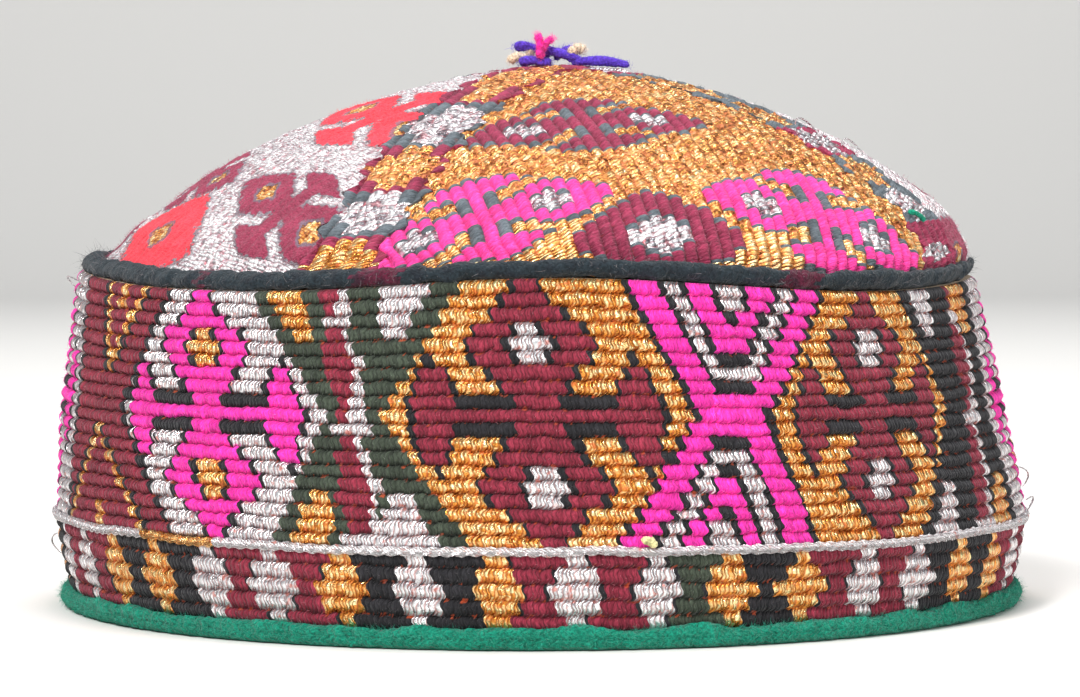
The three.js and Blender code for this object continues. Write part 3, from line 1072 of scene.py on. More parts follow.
# the gore's flat cloth laid on the dome; the ribs stay parallel where the crown leans
def layGore(a, b, middle):
    s = np.hypot(a, b)
    azimuth = math.radians(middle) + np.arctan2(a, b)
    height = np.interp(s, domeS, domeZ)
    spare = (capForm["leanShifts"][-1] - leanAt(height)) * np.cos(azimuth)
    x = a + spare
    s = np.hypot(x, b)
    turn = np.arctan2(x, b) * s / domeRadius(s)
    return s, turn


# the seam's border is worked by eye, so its edge wavers
def seamReach(s):
    reach = crown["seamHalf"]
    for width, turn, start in crown["seamWaver"]:
        reach = reach + width * np.sin(s * turn + start)
    return reach


def goreEdge(s):
    return math.pi / 4 - seamReach(s) / domeRadius(s)


def chartSpot(turn, height, middle):
    s = domeDistance(height)
    radius = float(np.interp(s, domeS, domeR))
    angle = math.radians(turn) * radius / s
    spare = (capForm["leanShifts"][-1] - float(leanAt(height))) * math.cos(math.radians(middle + turn))
    return s * math.sin(angle) - spare, s * math.cos(angle)


# lengths of beads and knots along a rib, and what they and the threads do to its relief
clothWork = {
    "bead": 3.3, "beadLift": 0.36, "woolDeeper": 0.2, "woolRough": 0.03,
    "knot": 1.2, "knotLift": 0.1, "metalShare": 0.75, "metalSunk": 0.1, "metalRough": 0.06,
}


# wool swells over the ribs in beads, metal thread lies flatter and in crushed knots
def clothLift(isWool, across, along, relief, noise):
    ribs, knots, grains = 211, 7919, 7907  # lengths of the lists of chances
    rib = np.floor(across).astype(int) % ribs
    work = clothWork
    bead = np.abs(np.sin(math.pi * (along / work["bead"] + noise.uniform(0, 1, ribs)[rib]))) ** 0.5
    knotAlong = np.floor(along / work["knot"]).astype(int)
    knot = noise.normal(0, 1, knots)[(rib * 197 + knotAlong) % knots]
    rough = noise.normal(0, 1, grains)[np.arange(len(across)) % grains]
    wool = ribLift(across, relief + work["woolDeeper"]) + work["beadLift"] * relief * bead
    metal = ribLift(across, relief * work["metalShare"]) - work["metalSunk"] + work["knotLift"] * knot
    return np.where(isWool, wool + work["woolRough"] * rough, metal + work["metalRough"] * rough)


# marks the felted motifs on a gore's mesh and tells which places are wool
def setMotifs(mesh, a, b, spots):
    reach, eye, dye = np.full(len(a), motifReach), np.full(len(a), motifReach), np.zeros(len(a))
    for (spotA, spotB), motif in spots:
        row, cell = (a - spotA) / crown["ribPitch"], (b - spotB) / crown["cell"]
        out, outOfEye = feltedReach(motif["form"], row / motif["size"], cell / motif["size"])
        nearer = out < reach
        reach, dye = np.where(nearer, out, reach), np.where(nearer, motif["dye"], dye)
        eye = np.minimum(eye, outOfEye)
    layer = mesh.attributes.new("motif", "FLOAT_COLOR", "POINT")
    marks = np.stack([reach / motifReach, eye / motifReach, dye, np.ones(len(a))], axis=-1)
    layer.data.foreach_set("color", marks.astype(np.float32).ravel())
    return (reach < 1) & (eye > 1)


def makeGore(name):
    gore, middle = crown["gores"][name], goreMiddles[name]
    pitch, wrap, ribs = crown["ribPitch"], crown["wrap"], crown["goreRibs"]
    wraps = math.ceil((domeLength + 8) / wrap)

    def isInside(a, b):
        s, turn = layGore(a, b, middle)
        return (s < domeLength) & (np.abs(turn) < goreEdge(s)) & (b > 0)

    side, steps = ribs * pitch, 2 * ribs * crown["ribSteps"]
    mesh, flat, loops = slabMesh("crown_" + name, (-side, side), (0, wraps * wrap), steps, wraps, isInside)
    corners, isShown = mapSlab(mesh, flat, loops, pitch)
    spots = [(chartSpot(m["turn"], m["height"], middle), m) for m in gore["motifs"]]
    noise = np.random.default_rng(31 + len(name))
    unevenCount = 400
    uneven = noise.normal(0, 0.7, unevenCount)
    coiledFrom = domeDistance(crown["coiledBelow"])

    def goreThread(faceA, faceB):
        rib = math.floor(faceA / pitch)
        for (spotA, spotB), motif in spots:
            cell = (faceB - spotB) / crown["cell"] / motif["size"]
            chart = crownCrossChart if motif["form"] == "cross" else diamondChart
            row = rib - math.floor(spotA / pitch) + len(chart) - 1
            thread = chartThread(chart, row, cell + uneven[(rib * 7 + int(spotB)) % unevenCount])
            if thread in ("m", "e", "k"):
                return {"m": motif["threads"][0], "e": motif["threads"][1], "k": "q"}[thread]
        isCoiled = math.hypot(faceA, faceB) + 1.5 * math.sin(1.7 * rib) > coiledFrom
        return "c" if isCoiled else gore["ground"]

    a, b = flat[:, 0], flat[:, 1]
    if "ground" in gore:
        materials = [*threads.values(), cotton]
        slots, isWool = paintSlab(flat, corners, isShown, goreThread)
    else:
        materials = [feltedCloth, cotton]
        isWool = setMotifs(mesh, a, b, spots)
        slots = np.where(isShown, 0, 1)
    s, turn = layGore(a, b, middle)
    s = np.minimum(s, domeLength)
    edge = np.maximum(goreEdge(s), 0.001)
    turn = np.clip(turn, -edge, edge)
    raised = clothLift(isWool, a / pitch, b, gore["relief"], noise)
    lift = np.where(flat[:, 2] > 0.5, raised, -crown["thickness"])
    radius, height = domeAt(s, lift)
    places = crownStanding(radius, math.radians(middle) + turn, height)
    piece = finishPiece("crown_" + name + "_ribs", mesh, places, slots, materials)
    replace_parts(piece, "crown_gore_" + name)
    return piece


crownPieces = [makeGore(goreName) for goreName in goreMiddles]


# the border along a seam: ribs with a diamond in each block
def makeSeamBorder(number):
    azimuth = math.radians(capForm["seamAzimuth"] + 90 * number)
    half, wrap = crown["seamHalf"] + crown["seamSpare"], crown["wrap"]
    ribs = len(crown["diamondRibs"])
    pitch = 2 * half / ribs
    wraps = math.ceil(domeLength / wrap)

    def seamSide(s):
        return np.minimum(seamReach(s), np.interp(s, domeS, domeR) * math.pi / 4)

    def isInside(w, s):
        return (np.abs(w) < seamSide(s)) & (s > 0) & (s <= domeLength + 0.01)

    steps = ribs * crown["ribSteps"]
    mesh, flat, loops = slabMesh("seam_border", (-half, half), (0, wraps * wrap), steps, wraps, isInside)
    flat[:, 0] += half
    corners, isShown = mapSlab(mesh, flat, loops, pitch)
    blocks = crown["seams"][number % 2]
    tops = [domeDistance(top) for top, diamond, ground in blocks]
    noise = np.random.default_rng(41 + number)
    unevenCount = 60
    uneven = noise.normal(0, 0.6, unevenCount)

    def seamThread(across, s):
        rib = min(int(across / pitch), ribs - 1)
        below = domeLength
        for i, (above, (top, diamond, ground)) in enumerate(zip(tops, blocks)):
            if s >= above:
                reach = (below - above) / 2 * crown["diamondRibs"][rib]
                away = abs(s - (below + above) / 2 + uneven[(rib * 11 + i) % unevenCount])
                return diamond if away < reach else ground
            below = above
        return blocks[-1][1]

    slots, isWool = paintSlab(flat, corners, isShown, seamThread)
    start = crown["seamStart"]
    w, s = flat[:, 0] - half, np.clip(flat[:, 1], start, domeLength)
    w = np.clip(w, -seamSide(s), seamSide(s))
    raised = clothLift(isWool, flat[:, 0] / pitch, s, crown["seamRelief"], noise)
    lift = np.where(flat[:, 2] > 0.5, raised, -crown["thickness"])
    radius, height = domeAt(s, lift)
    places = crownStanding(radius, azimuth + w / domeRadius(s, start), height)
    piece = finishPiece("seam_border_%d" % (number + 1), mesh, places, slots, [*threads.values(), cotton])
    return piece


crownPieces += [makeSeamBorder(seamNumber) for seamNumber in range(4)]


# wool that shows no wraps: cords and loose ends
def makeSoftWool(name, colour, second):
    material, tree, shader = newMaterial(name)
    place = objectPlace(tree)
    fine, broad = noiseAt(tree, place, 2200.0, 4.0), noiseAt(tree, place, 420.0, 3.0)
    shade = times(tree, fromNoise(tree, fine, 0.5, 1.4), fromNoise(tree, broad, 0.72, 1.2))
    dyed = mixColour(tree, mapped(tree, broad, 0.45, 0.65, 0, 1), colour, second)
    matte = {"Roughness": 0.95, "Specular IOR Level": 0.15, "Sheen Weight": 0.15}
    height = plus(tree, fine, times(tree, broad, 2.5))
    finishShader(tree, shader, {"Base Color": shaded(tree, dyed, shade), **matte}, height, 0.4)
    return material


# one plain colour, for loose fibres
def makeFibreWool(name, colour):
    material, tree, shader = newMaterial(name)
    matte = {"Roughness": 0.9, "Specular IOR Level": 0.2, "Sheen Weight": 0.3}
    finishShader(tree, shader, {"Base Color": colour, **matte})
    return material


def plainPaint(column, step):
    return np.zeros(len(column), dtype=int)


def cordCentre(cord, azimuth):
    return cord["radius"] - cord["tuck"] * onRight(azimuth)


# a plied cord laid round the cap: lobes turn along it as its plies do
def rollCord(name, cord, materials, paint=plainPaint):
    radius, height, thick, sides = cord["radius"], cord["height"], cord["thick"], cord["sides"]
    columns, plies = cord["columns"], cord["plies"]
    outline = []
    for i in range(sides):
        angle = 2 * math.pi * i / sides
        outline.append((radius + thick * math.cos(angle), height + thick * math.sin(angle), i))
    noise = np.random.default_rng(cord["seed"])
    turns = round(2 * math.pi * radius / cord["lay"])
    lumps = unevenLine(noise, 260, columns)
    sway = unevenLine(noise, 60, columns) * cord["sway"]
    grain = noise.normal(0, 1, (sides, columns))

    def shape(column, step, azimuth, ringRadius, ringHeight):
        angle = 2 * math.pi * step / sides
        plied = 1 + cord["bulge"] * np.cos(plies * angle - turns * azimuth)
        size = thick * (plied + cord["lumps"] * lumps[column] + cord["rough"] * grain[step, column])
        centre = cordCentre(cord, azimuth)
        return centre + size * np.cos(angle), azimuth, height + size * np.sin(angle) + sway[column]

    return rollRing(name, outline, columns, paint, materials, shape)


crownCord = {
    "radius": capForm["crownRadius"] + capForm["gap"] + 1.7,
    "height": capForm["bandTop"] + 1.65,
    "thick": 1.6,
    "columns": 1000,
    "sides": 14,
    "plies": 2,
    "lay": 5.5,
    "bulge": 0.07,
    "lumps": 0.09,
    "rough": 0.035,
    "sway": 0.2,
    "seed": 1,
    "tuck": 0.9,  # under the crown on the right
    "maroonPatches": [(31.5, 37.0), (-21.0, -15.0), (-44.0, -42.6)],  # azimuths
}
darkWool = makeSoftWool("darkWool", srgb(42, 52, 58), srgb(32, 37, 43))
maroonPatch = makeSoftWool("cordMaroonPatch", srgb(92, 30, 52), srgb(50, 26, 38))


def paintCord(column, step):
    azimuth = (column + 0.5) / crownCord["columns"] * 360 - 180
    patched = np.zeros(len(column), dtype=int)
    for start, end in crownCord["maroonPatches"]:
        ragged = 0.7 * np.sin(step * 2.3 + start)
        patched[(azimuth > start + ragged) & (azimuth < end + ragged)] = 1
    return patched


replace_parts(rollCord("crown_cord_wool", crownCord, [darkWool, maroonPatch], paintCord), "crown_cord")

metalCord = {
    "radius": capForm["widestRadius"] + 0.1,
    "height": capForm["borderSeam"],
    "thick": 0.75,
    "columns": 1500,
    "sides": 8,
    "plies": 2,
    "lay": 2.4,
    "bulge": 0.16,
    "lumps": 0.06,
    "rough": 0.03,
    "sway": 0.12,
    "seed": 2,
    "tuck": 0,
    "goldStretch": (-50, -38),
}


def paintMetal(column, step):
    azimuth = (column + 0.5) / metalCord["columns"] * 360 - 180
    start, end = metalCord["goldStretch"]
    return np.where((azimuth > start) & (azimuth < end), 0, 1)


twisted = {**silverWound, "core": 0.45, "metal": 0.6}
silverTwist = makeMetalThread("silverTwist", brightSilver, srgb(206, 108, 92), twisted)
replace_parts(rollCord("metal_cord_twist", metalCord, [threads["g"], silverTwist], paintMetal), "metal_cord")

# the rim's binding: a looped wool braid folded round the edge
edgeBinding = {
    "columns": 1500,
    "stitches": 330,
    "slant": 1.1,
    "relief": 0.26,
    "lip": 1.1,
    "loop": 1.5,  # millimetres of a loop along the rim
    "sole": 1.1,  # half the width that rests
    "floorGap": 0.02,
    "lumps": 0.12,
    "knots": 0.24,
    "sag": 0.32,
}


# slanted loops meet in a row of points, by millimetres along the rim and steps round it
def makeBraidWool(name, colour):
    material, tree, shader = newMaterial(name)
    split = stitchPlace(tree)[1]
    place = objectPlace(tree)
    fine, broad = noiseAt(tree, place, 2600.0, 4.0), noiseAt(tree, place, 420.0, 3.0)
    fold = minus(tree, mathNode(tree, "FRACT", times(tree, split[1], 0.5)), 0.5)
    fromPoint = mathNode(tree, "ABSOLUTE", fold)
    along = plus(
        tree,
        mathNode(tree, "DIVIDE", split[0], edgeBinding["loop"]),
        times(tree, fromPoint, 1.5),
        mapped(tree, broad, 0.2, 0.8, -0.5, 0.5),
    )
    loop = mathNode(tree, "ABSOLUTE", mathNode(tree, "SINE", times(tree, along, math.pi)))
    ridge = mapped(tree, fromPoint, 0, 0.22, 0, 1)
    # painted shade between the loops and along the row of points; the noises are the wool's own uneven tone
    shade = times(
        tree,
        fromNoise(tree, fine, 0.56, 1.4),
        mapped(tree, loop, 0, 0.7, 0.8, 1.06),
        mapped(tree, ridge, 0, 1, 0.86, 1.03),
        fromNoise(tree, broad, 0.76, 1.18),
    )
    loops, ridges = times(tree, loop, 0.6), times(tree, ridge, 0.5)
    height = plus(tree, loops, ridges, times(tree, fine, 1.6), times(tree, broad, 3.0))
    matte = {"Roughness": 0.95, "Specular IOR Level": 0.1, "Sheen Weight": 0.15}
    finishShader(tree, shader, {"Base Color": shaded(tree, colour, shade), **matte}, height, 0.36)
    return material


greenWool = makeBraidWool("greenWool", srgb(25, 138, 112))


def makeEdgeBinding():
    lip, top = edgeBinding["lip"], capForm["bindingHeight"]
    outside = capForm["rimRadius"] + capForm["gap"]
    inside = capForm["rimRadius"] - capForm["wall"] - capForm["gap"]
    middle, sole, rest = (inside + outside) / 2, edgeBinding["sole"], edgeBinding["floorGap"]
    outline = [
        (middle + sole, rest, 0),
        (outside + lip * 0.45, 0.35, 1),
        (outside + lip * 0.85, 1.1, 2),
        (outside + lip, top * 0.5, 3),
        (outside + lip * 0.85, top * 0.8, 4),
        (outside + lip * 0.4, top, 5),
        (outside - 0.4, top * 0.96, 6),
        (inside + 0.4, top * 0.9, 7),
        (inside - lip * 0.4, top * 0.95, 8),
        (inside - lip, top * 0.6, 9),
        (inside - lip * 0.7, 0.8, 10),
        (middle - sole, rest, 11),
    ]
    noise = np.random.default_rng(51)
    columns, stitches = edgeBinding["columns"], edgeBinding["stitches"]
    lumps, sag = unevenLine(noise, 300, columns), unevenLine(noise, 80, columns)
    knots = np.stack([unevenLine(noise, 500, columns) for point in outline])

    def shape(column, step, azimuth, radius, height):
        phase = stitches * azimuth + edgeBinding["slant"] * step
        swell = edgeBinding["relief"] * (np.abs(np.cos(phase / 2)) - 0.5)
        swell = swell + edgeBinding["lumps"] * lumps[column] + edgeBinding["knots"] * knots[step, column]
        free = np.where((step == 0) | (step == 11), 0, 1)  # all but the sole
        outward = np.where(step <= 6, 1, -1)
        upper = np.where((step >= 4) & (step <= 6), 1, 0)
        raised = edgeBinding["sag"] * sag[column] + 0.5 * swell
        return radius + free * outward * swell, azimuth, height + upper * raised

    piece = rollRing("edge_binding_yarn", outline, columns, plainPaint, [greenWool], shape, 5)
    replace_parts(piece, "edge_binding")


makeEdgeBinding()

# yarn ends of the tuft in millimetres from the apex: each is bent through three places
topTuft = {
    "strands": tableOf("wool thick path", [
        ("violet", 0.95, [(2.5, -1.2, 0.3), (7, -2.2, 1.4), (13.4, -1.4, -0.1)]),
        ("violet", 0.9, [(-1.5, 0.4, 1.6), (-4.6, 0.2, 4.2), (-8.2, 0.6, 3.4)]),
        ("violet", 0.95, [(-3, -0.4, 2.9), (0.5, -1.0, 2.6), (4.6, -1.6, 0.5)]),
        ("violet", 1.0, [(-7.2, -0.8, 0.4), (-4.6, -1.8, 1.4), (-1.2, -1.4, 0.2)]),
        ("violet", 0.7, [(-0.5, 1.4, 1.0), (1.4, 1.2, 4.2), (4.2, 1.6, 2.6)]),
        ("pink", 0.8, [(-3.3, -2.2, 1.2), (-3.1, -2.3, 3.6), (-3.8, -2.0, 5.8)]),
        ("pink", 0.74, [(-3.2, -2.2, 2.6), (-2.6, -2.2, 4.0), (-0.9, -1.9, 5.0)]),
        ("cream", 0.95, [(-6.0, -0.2, 0.8), (-7.6, -0.6, 2.4), (-9.0, -0.4, 0.6)]),
        ("cream", 1.1, [(2.2, -0.9, 1.6), (3.6, -1.1, 3.8), (4.9, -0.9, 2.6)]),
        ("cream", 0.7, [(-5.6, 0.4, 1.6), (-5.2, 0.6, 2.8), (-4.6, 0.4, 2.2)]),
        ("silver", 0.42, [(5.4, -2.6, -0.9), (9, -3.0, -0.7), (13.4, -2.2, -1.5)]),
    ]),
    "along": 40,
    "sides": 12,
    "lay": 6.0,
    "wisps": 1000,  # on each strand of wool
}
tuftWools = {
    "violet": makeSoftWool("violetYarn", srgb(98, 66, 198), srgb(80, 52, 174)),
    "pink": makeSoftWool("pinkYarn", srgb(252, 64, 172), srgb(240, 44, 156)),
    "cream": makeSoftWool("creamYarn", srgb(240, 218, 192), srgb(222, 192, 160)),
    "silver": threads["s"],
}
apexPlace = np.array([float(leanAt(capForm["apex"])), 0, capForm["apex"] + capForm["raised"]])


def bezier(path, t):
    first, middle, last = (np.array(point, dtype=float) for point in path)
    t = t[:, None]
    return (1 - t) ** 2 * first + 2 * t * (1 - t) * middle + t**2 * last


# a yarn bent through three places
def makeYarn(name, path, thick, material, seed):
    along, sides = topTuft["along"], topTuft["sides"]
    mesh, flat, loops = asMesh(gridStart(along, sides), name)
    t = (flat[:, 0] + 1) / 2
    angle = (flat[:, 1] + 1) * math.pi
    centre = bezier(path, t)
    ahead = bezier(path, t + 0.01) - centre
    ahead /= np.linalg.norm(ahead, axis=1)[:, None]
    side = np.cross(ahead, np.array([0.0, 1.0, 0.2]))
    side /= np.linalg.norm(side, axis=1)[:, None]
    over = np.cross(ahead, side)
    length = np.linalg.norm(np.diff(bezier(path, np.linspace(0, 1, 40)), axis=0), axis=1).sum()
    twist = 2 * math.pi * t * length / topTuft["lay"]
    ends = np.sqrt(np.clip(1 - np.abs(2 * t - 1) ** 8, 0, 1))
    noise = np.random.default_rng(seed)
    lumps = np.interp(t, np.linspace(0, 1, 9), noise.normal(1, 0.1, 9))
    ring, around = np.rint(t * along).astype(int), np.rint(angle / (2 * math.pi) * sides).astype(int) % sides
    rough = noise.normal(0, 0.06, (along + 1, sides))[ring, around]
    size = thick * ends * lumps * (0.95 + 0.08 * np.cos(2 * angle - twist) + rough)
    places = centre + size[:, None] * (np.cos(angle)[:, None] * side + np.sin(angle)[:, None] * over)
    setUv(mesh, "stitch", np.stack([t[loops] * length, 2 * ((flat[:, 1] + 1) / 2)[loops]], axis=-1))
    setUv(mesh, "OFBake", np.stack([t[loops], ((flat[:, 1] + 1) / 2)[loops]], axis=-1))
    return finishPiece(name, mesh, places * mm, np.zeros(len(mesh.polygons), dtype=int), [material])


def makeTuftStrand(number, strand):
    path = [np.array(point) + apexPlace for point in strand["path"]]
    return makeYarn("tuft_end_%d" % number, path, strand["thick"], tuftWools[strand["wool"]], 70 + number)


tuftPieces = [makeTuftStrand(i + 1, strand) for i, strand in enumerate(topTuft["strands"])]
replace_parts(tuftPieces[0], "top_tuft")


# scraps and loose ends: azimuth, height and how far off the cap each of three places is
looseEnds = tableOf("name slot thick path dye", [
    (
        "green_scrap", "green_wool", 0.5, [(59.6, 72.2, 0.5), (61, 71.6, 1.3), (62.8, 70.6, 0.5)],
        srgb(20, 150, 118),
    ),
    (
        "grass_scrap", "band_stitching", 0.75, [(10.7, 17.0, 0.6), (11.3, 18.0, 1.2), (12.1, 16.2, 0.9)],
        srgb(226, 218, 160),
    ),
    ("strip_end_1", "metal_thread", 0.16, [(82, 24.5, 0.1), (88, 23.0, 3.4), (84, 20.5, 0.1)]),
    ("strip_end_2", "metal_thread", 0.16, [(84, 18.0, 0.3), (89, 19.5, 3.8), (86, 15.6, 0.5)]),
    ("strip_end_3", "metal_thread", 0.15, [(-83, 12.0, 0.1), (-88, 10.4, 3.2), (-85, 8.4, 0.1)]),
    ("strip_end_4", "metal_thread", 0.15, [(-76, 58.4, 0.1), (-84, 60.2, 4.2), (-80, 57.2, 0.3)]),
    ("strip_end_5", "silver_gore", 0.16, [(66, 87.4, 0.1), (70, 88.2, 2.4), (73, 86.4, 0.1)]),
    ("strip_end_6", "silver_gore", 0.16, [(70, 83.6, 0.1), (74, 84.6, 2.6), (76, 82.0, 0.1)]),
])


def offCap(azimuth, height, out):
    if height < capForm["crownBase"]:
        radius = float(wallRadius(height)) + out
        return standing(np.array(radius), np.radians(azimuth), np.array(height)) / mm
    radius, height = domeAt(domeDistance(height), out)
    return crownStanding(np.array(radius), np.radians(azimuth), np.array(height)) / mm


for endNumber, looseEnd in enumerate(looseEnds):
    endPath = [offCap(*point) for point in looseEnd["path"]]
    endThread = threads["s"]
    if "dye" in looseEnd:
        endThread = makeSoftWool(looseEnd["name"], looseEnd["dye"], looseEnd["dye"])
    endPiece = makeYarn(looseEnd["name"], endPath, looseEnd["thick"], endThread, 110 + endNumber)


# loose wool fibres on one mesh: a curled fibre has a joint, a straight one is a single spike,
# and none goes below the floor
def makeFuzz(name, roots, directions, lengths, thick, materials, kinds, seed, curl=0.5):
    noise = np.random.default_rng(seed)
    count = len(roots)
    ahead = directions / np.linalg.norm(directions, axis=1)[:, None]
    side = np.cross(ahead, noise.normal(0, 1, (count, 3)))
    side /= np.linalg.norm(side, axis=1)[:, None]
    over = np.cross(ahead, side)
    bend = noise.normal(0, curl, (count, 3))
    rings = []
    for portion, width in ((0.0, 1.0), (0.55, 0.8)) if curl else ((0.0, 1.0),):
        centre = roots + ahead * (lengths * portion)[:, None] + bend * (lengths * portion**2)[:, None]
        for k in range(3):
            angle = 2 * math.pi * k / 3
            rings.append(centre + thick * width * (math.cos(angle) * side + math.sin(angle) * over))
    tip = roots + (ahead + bend) * lengths[:, None]
    points = np.stack([*rings, tip], axis=1).reshape(-1, 3)
    points[:, 2] = np.maximum(points[:, 2], 0.03)
    size = len(rings) + 1
    pattern = [(0, 2, 1)]
    for start in range(0, size - 4, 3):
        for k in range(3):
            after = start + (k + 1) % 3
            pattern.append((start + k, after, after + 3, start + k + 3))
    pattern += [(size - 4 + k, size - 4 + (k + 1) % 3, size - 1) for k in range(3)]
    faces = [tuple(size * i + corner for corner in face) for i in range(count) for face in pattern]
    mesh = bpy.data.meshes.new(name)
    mesh.from_pydata((points * mm).tolist(), [], faces)
    slots = np.repeat(kinds, len(pattern))
    return finishPiece(name, mesh, points * mm, slots, materials)


# most fibres are paler than their wool: a painted highlight for the light the fuzz catches; the crown's
# maroon fibre is faded and also painted lighter for the light from above
fibreWools = {
    "m": makeFibreWool("maroonFibre", srgb(196, 112, 124)),
    "p": makeFibreWool("pinkFibre", srgb(255, 124, 208)),
    "k": makeFibreWool("blackFibre", srgb(92, 88, 90)),
    "v": makeFibreWool("greenFibre", srgb(114, 122, 108)),
    "b": makeFibreWool("fadedMaroonFibrePaintedLighter", srgb(184, 100, 124)),
    "h": makeFibreWool("crownPinkFibre", srgb(252, 80, 186)),
    "q": makeFibreWool("slateFibre", srgb(108, 118, 122)),
    "r": makeFibreWool("coralFibre", srgb(240, 88, 98)),
}


# the fibre of every face of a worked piece, or -1 where it has none
def faceFibres(mesh):
    fibres, letters = list(fibreWools), list(threads)
    slots = np.empty(len(mesh.polygons), dtype=np.int32)
    mesh.polygons.foreach_get("material_index", slots)
    if "motif" not in mesh.attributes:
        ofSlot = [fibres.index(letter) if letter in fibres else -1 for letter in letters] + [-1]
        return np.array(ofSlot)[slots]
    marks = np.empty(len(mesh.vertices) * 4)
    mesh.attributes["motif"].data.foreach_get("color", marks)
    first = np.empty(len(mesh.polygons), dtype=np.int32)
    mesh.polygons.foreach_get("loop_start", first)
    corners = np.empty(len(mesh.loops), dtype=np.int32)
    mesh.loops.foreach_get("vertex_index", corners)
    reach, eye, dye, full = marks.reshape(-1, 4)[corners[first]].T
    isWool = (slots == 0) & (reach * motifReach < 1.05) & (eye * motifReach > 1.3)
    return np.where(isWool, np.where(dye > 0.5, fibres.index("r"), fibres.index("b")), -1)


# how the fibres of worked wool stand: millimetres, and shares of their reach
stitchFibres = {"spread": 0.15, "rooted": 0.1, "tangle": 0.9, "shortest": 0.4, "thick": 0.035}


# short fibres over every wool stitch of a worked piece
def woolFuzz(name, piece, perSquare, reach, seed):
    mesh = piece.data
    noise = np.random.default_rng(seed)
    count = len(mesh.polygons)
    centres, normals, areas = np.empty(count * 3), np.empty(count * 3), np.empty(count)
    mesh.polygons.foreach_get("center", centres)
    mesh.polygons.foreach_get("normal", normals)
    mesh.polygons.foreach_get("area", areas)
    centres, normals = centres.reshape(-1, 3) / mm, normals.reshape(-1, 3)
    fibres = faceFibres(mesh)
    chosen = np.flatnonzero((fibres >= 0) & (noise.uniform(0, 1, count) < areas / mm**2 * perSquare))
    look, size = stitchFibres, (len(chosen), 3)
    roots = centres[chosen] + noise.normal(0, look["spread"], size) - normals[chosen] * look["rooted"]
    ahead = normals[chosen] + noise.normal(0, look["tangle"], size)
    lengths = noise.uniform(look["shortest"], 1.0, len(chosen)) * reach
    materials = list(fibreWools.values())
    made = makeFuzz(name, roots, ahead, lengths, look["thick"], materials, fibres[chosen], seed + 1, 0)


woolFuzz("side_band_fuzz", bandRows, 0.7, 0.9, 81)
woolFuzz("lower_border_fuzz", borderRows, 0.8, 0.9, 83)
for crownPiece in crownPieces:
    isFelted = "motif" in crownPiece.data.attributes
    woolFuzz(crownPiece.name + "_fuzz", crownPiece, 2.6 if isFelted else 1.6, 1.0, 85)


# the arc of a cord that its fibres cover in half turns, how they stand, and the share in the second colour
cordFibreLook = {
    "arc": (-0.6, 0.75), "sunk": 0.95, "out": 0.7, "along": 1.3, "tangle": 0.4, "shortest": 0.25,
    "second": 0.33, "thick": 0.032,
}


# fibres round a cord, mostly short and lying along it
def cordFuzz(name, cord, count, reach, materials, seed, curl):
    noise = np.random.default_rng(seed)
    azimuth = noise.uniform(-math.pi, math.pi, count)
    look = cordFibreLook
    around = noise.uniform(math.pi * look["arc"][0], math.pi * look["arc"][1], count)
    thick = cord["thick"] * look["sunk"]
    radius = cordCentre(cord, azimuth) + thick * np.cos(around)
    roots = standing(radius, azimuth, cord["height"] + thick * np.sin(around)) / mm
    flatOut = np.cos(around)
    out = np.stack([flatOut * np.sin(azimuth), -flatOut * np.cos(azimuth), np.sin(around)], axis=-1)
    along = np.stack([np.cos(azimuth), np.sin(azimuth), np.zeros(count)], axis=-1)
    ahead = look["out"] * out + along * noise.normal(0, look["along"], count)[:, None]
    ahead = ahead + noise.normal(0, look["tangle"], (count, 3))
    lengths = noise.uniform(look["shortest"], 1.0, count) ** 2 * reach
    kinds = (noise.uniform(0, 1, count) < look["second"]).astype(int)
    return makeFuzz(name, roots, ahead, lengths, look["thick"], materials, kinds, seed + 1, curl)


cordFibres = [
    makeFibreWool("cordFibre", srgb(54, 64, 70)),
    makeFibreWool("paleCordFibre", srgb(124, 118, 120)),
]
bindingFibres = [
    makeFibreWool("bindingFibre", srgb(30, 144, 116)),
    makeFibreWool("paleBindingFibre", srgb(62, 168, 144)),
]
cordFuzz("crown_cord_fuzz", crownCord, 4400, 1.7, cordFibres, 61, 0.8)
bindingRing = {"radius": capForm["rimRadius"] + 0.6, "height": 2.1, "thick": 1.1, "tuck": 0}
cordFuzz("edge_binding_fuzz", bindingRing, 23000, 2.1, bindingFibres, 63, 0)


# wisps on the tuft's yarn ends
def makeTuftFuzz():
    noise = np.random.default_rng(91)
    dyes = {"violet": srgb(112, 82, 208), "pink": srgb(252, 90, 186), "cream": srgb(240, 222, 200)}
    names = list(dyes)
    materials = [makeFibreWool(name + "Fibre", dye) for name, dye in dyes.items()]
    count = topTuft["wisps"]
    roots, kinds = [], []
    for strand in topTuft["strands"]:
        if strand["wool"] in names:
            path = bezier(strand["path"], noise.uniform(0, 1, count))
            around = noise.normal(0, 1, (count, 3))
            around /= np.linalg.norm(around, axis=1)[:, None]
            roots.append(path + around * strand["thick"] * 0.8)
            kinds += [names.index(strand["wool"])] * count
    roots = np.concatenate(roots)
    ahead = noise.normal(0, 1, roots.shape) + np.array([0, 0, 0.5])
    lengths = noise.uniform(0.2, 1, len(roots)) ** 4 * 1.2 + 0.35
    made = makeFuzz("tuft_wisps", roots + apexPlace, ahead, lengths, 0.03, materials, np.array(kinds), 92, 0)


makeTuftFuzz()


studio = {
    "floorHalf": 2.0,
    "sweepRadius": 0.7,
    "world": (0.8, 0.84, 0.9, 1),
    "worldStrength": 0.28,
    "lamps": [
        {"name": "key", "at": (-0.5, -0.95, 1.2), "aim": (0, 0, 0.05), "size": 0.4, "watts": 24},
        {"name": "fill", "at": (0.95, -0.9, 0.6), "aim": (0, 0, 0.05), "size": 0.8, "watts": 7},
        {"name": "top", "at": (0.1, 0.15, 1.2), "aim": (0, 0, 0.05), "size": 0.6, "watts": 10},
        {"name": "backdrop", "at": (0, 0.9, 1.5), "aim": (0, 2.5, 0.4), "size": 1.2, "watts": 18},
    ],
}


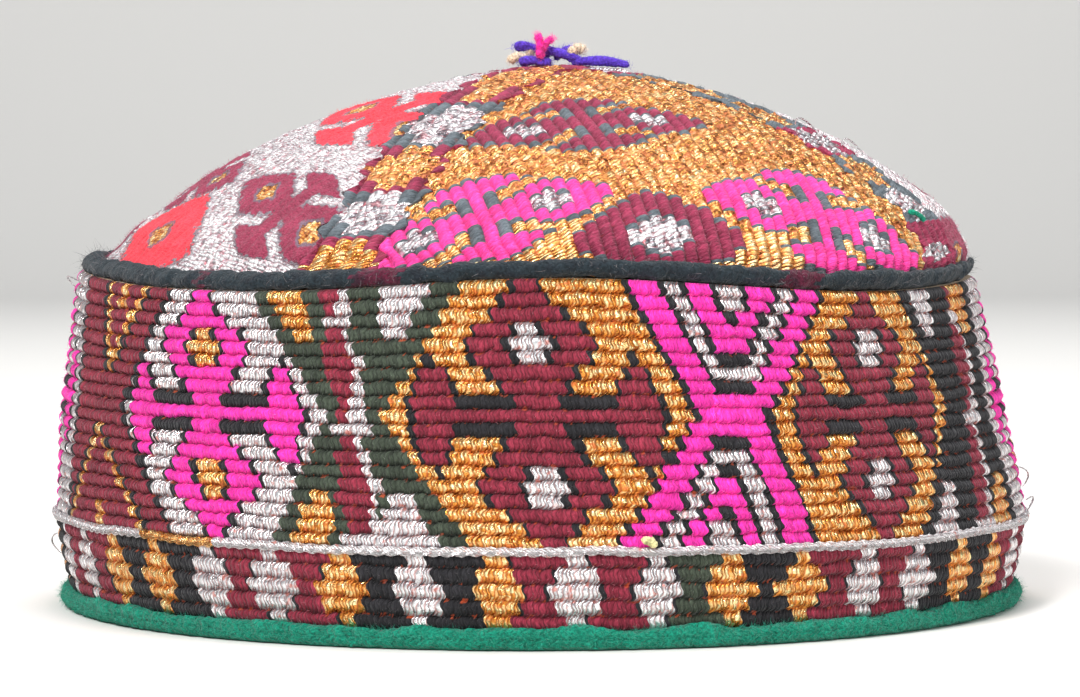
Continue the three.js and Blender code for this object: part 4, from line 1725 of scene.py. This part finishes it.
# pale floor that sweeps up behind
def makeFloor():
    bm = bmesh.new()
    half, sweep = studio["floorHalf"], studio["sweepRadius"]
    bmesh.ops.create_grid(bm, x_segments=1, y_segments=1, size=half)
    back = [edge for edge in bm.edges if all(vert.co.y > 0 for vert in edge.verts)]
    turn = {"cent": (0, half, sweep), "axis": (1, 0, 0), "angle": math.pi / 2}
    bmesh.ops.spin(bm, geom=back, steps=16, use_merge=False, **turn)
    mesh = bpy.data.meshes.new("floor")
    bm.to_mesh(mesh)
    bm.free()
    material, tree, shader = newMaterial("paleFloor")
    finishShader(tree, shader, {"Base Color": srgb(232, 230, 226), "Roughness": 0.9})
    mesh.materials.append(material)
    mesh.polygons.foreach_set("use_smooth", np.ones(len(mesh.polygons), dtype=bool))
    floor = bpy.data.objects.new("floor", mesh)
    bpy.context.scene.collection.objects.link(floor)


makeFloor()


def lightStudio():
    world = bpy.data.worlds.new("studio")
    bpy.context.scene.world = world
    world.use_nodes = True
    world.node_tree.nodes["Background"].inputs[0].default_value = studio["world"]
    world.node_tree.nodes["Background"].inputs[1].default_value = studio["worldStrength"]
    for lamp in studio["lamps"]:
        data = bpy.data.lights.new(lamp["name"], "AREA")
        data.size = lamp["size"]
        data.energy = lamp["watts"]
        made = bpy.data.objects.new(lamp["name"], data)
        made.location = lamp["at"]
        aim = np.array(lamp["aim"]) - np.array(lamp["at"])
        tilt = math.atan2(math.hypot(aim[0], aim[1]), -aim[2])
        made.rotation_euler = (tilt, 0, math.atan2(-aim[0], aim[1]))
        bpy.context.scene.collection.objects.link(made)
    bpy.context.scene.view_settings.view_transform = "Standard"


lightStudio()

# the camera, fitted to the photograph: metres, pixels of its frame, and degrees
photoCamera = {
    "distance": 0.75,
    "eye": 0.0772,
    "frame": (1080, 697),
    "focalPixels": 4012,
    "horizon": 185,
    "roll": 0.15,
    "sensor": 36,  # millimetres
}


def placeCamera():
    data = bpy.data.cameras.new("camera")
    width, height = photoCamera["frame"]
    data.sensor_width = photoCamera["sensor"]
    data.lens = photoCamera["focalPixels"] / width * photoCamera["sensor"]
    camera = bpy.data.objects.new("camera", data)
    camera.location = (0, -photoCamera["distance"], photoCamera["eye"])
    dip = math.atan2(height / 2 - photoCamera["horizon"], photoCamera["focalPixels"])
    camera.rotation_euler = (math.pi / 2 - dip, math.radians(photoCamera["roll"]), 0)
    bpy.context.scene.collection.objects.link(camera)
    bpy.context.scene.camera = camera


placeCamera()

print("all pieces made")
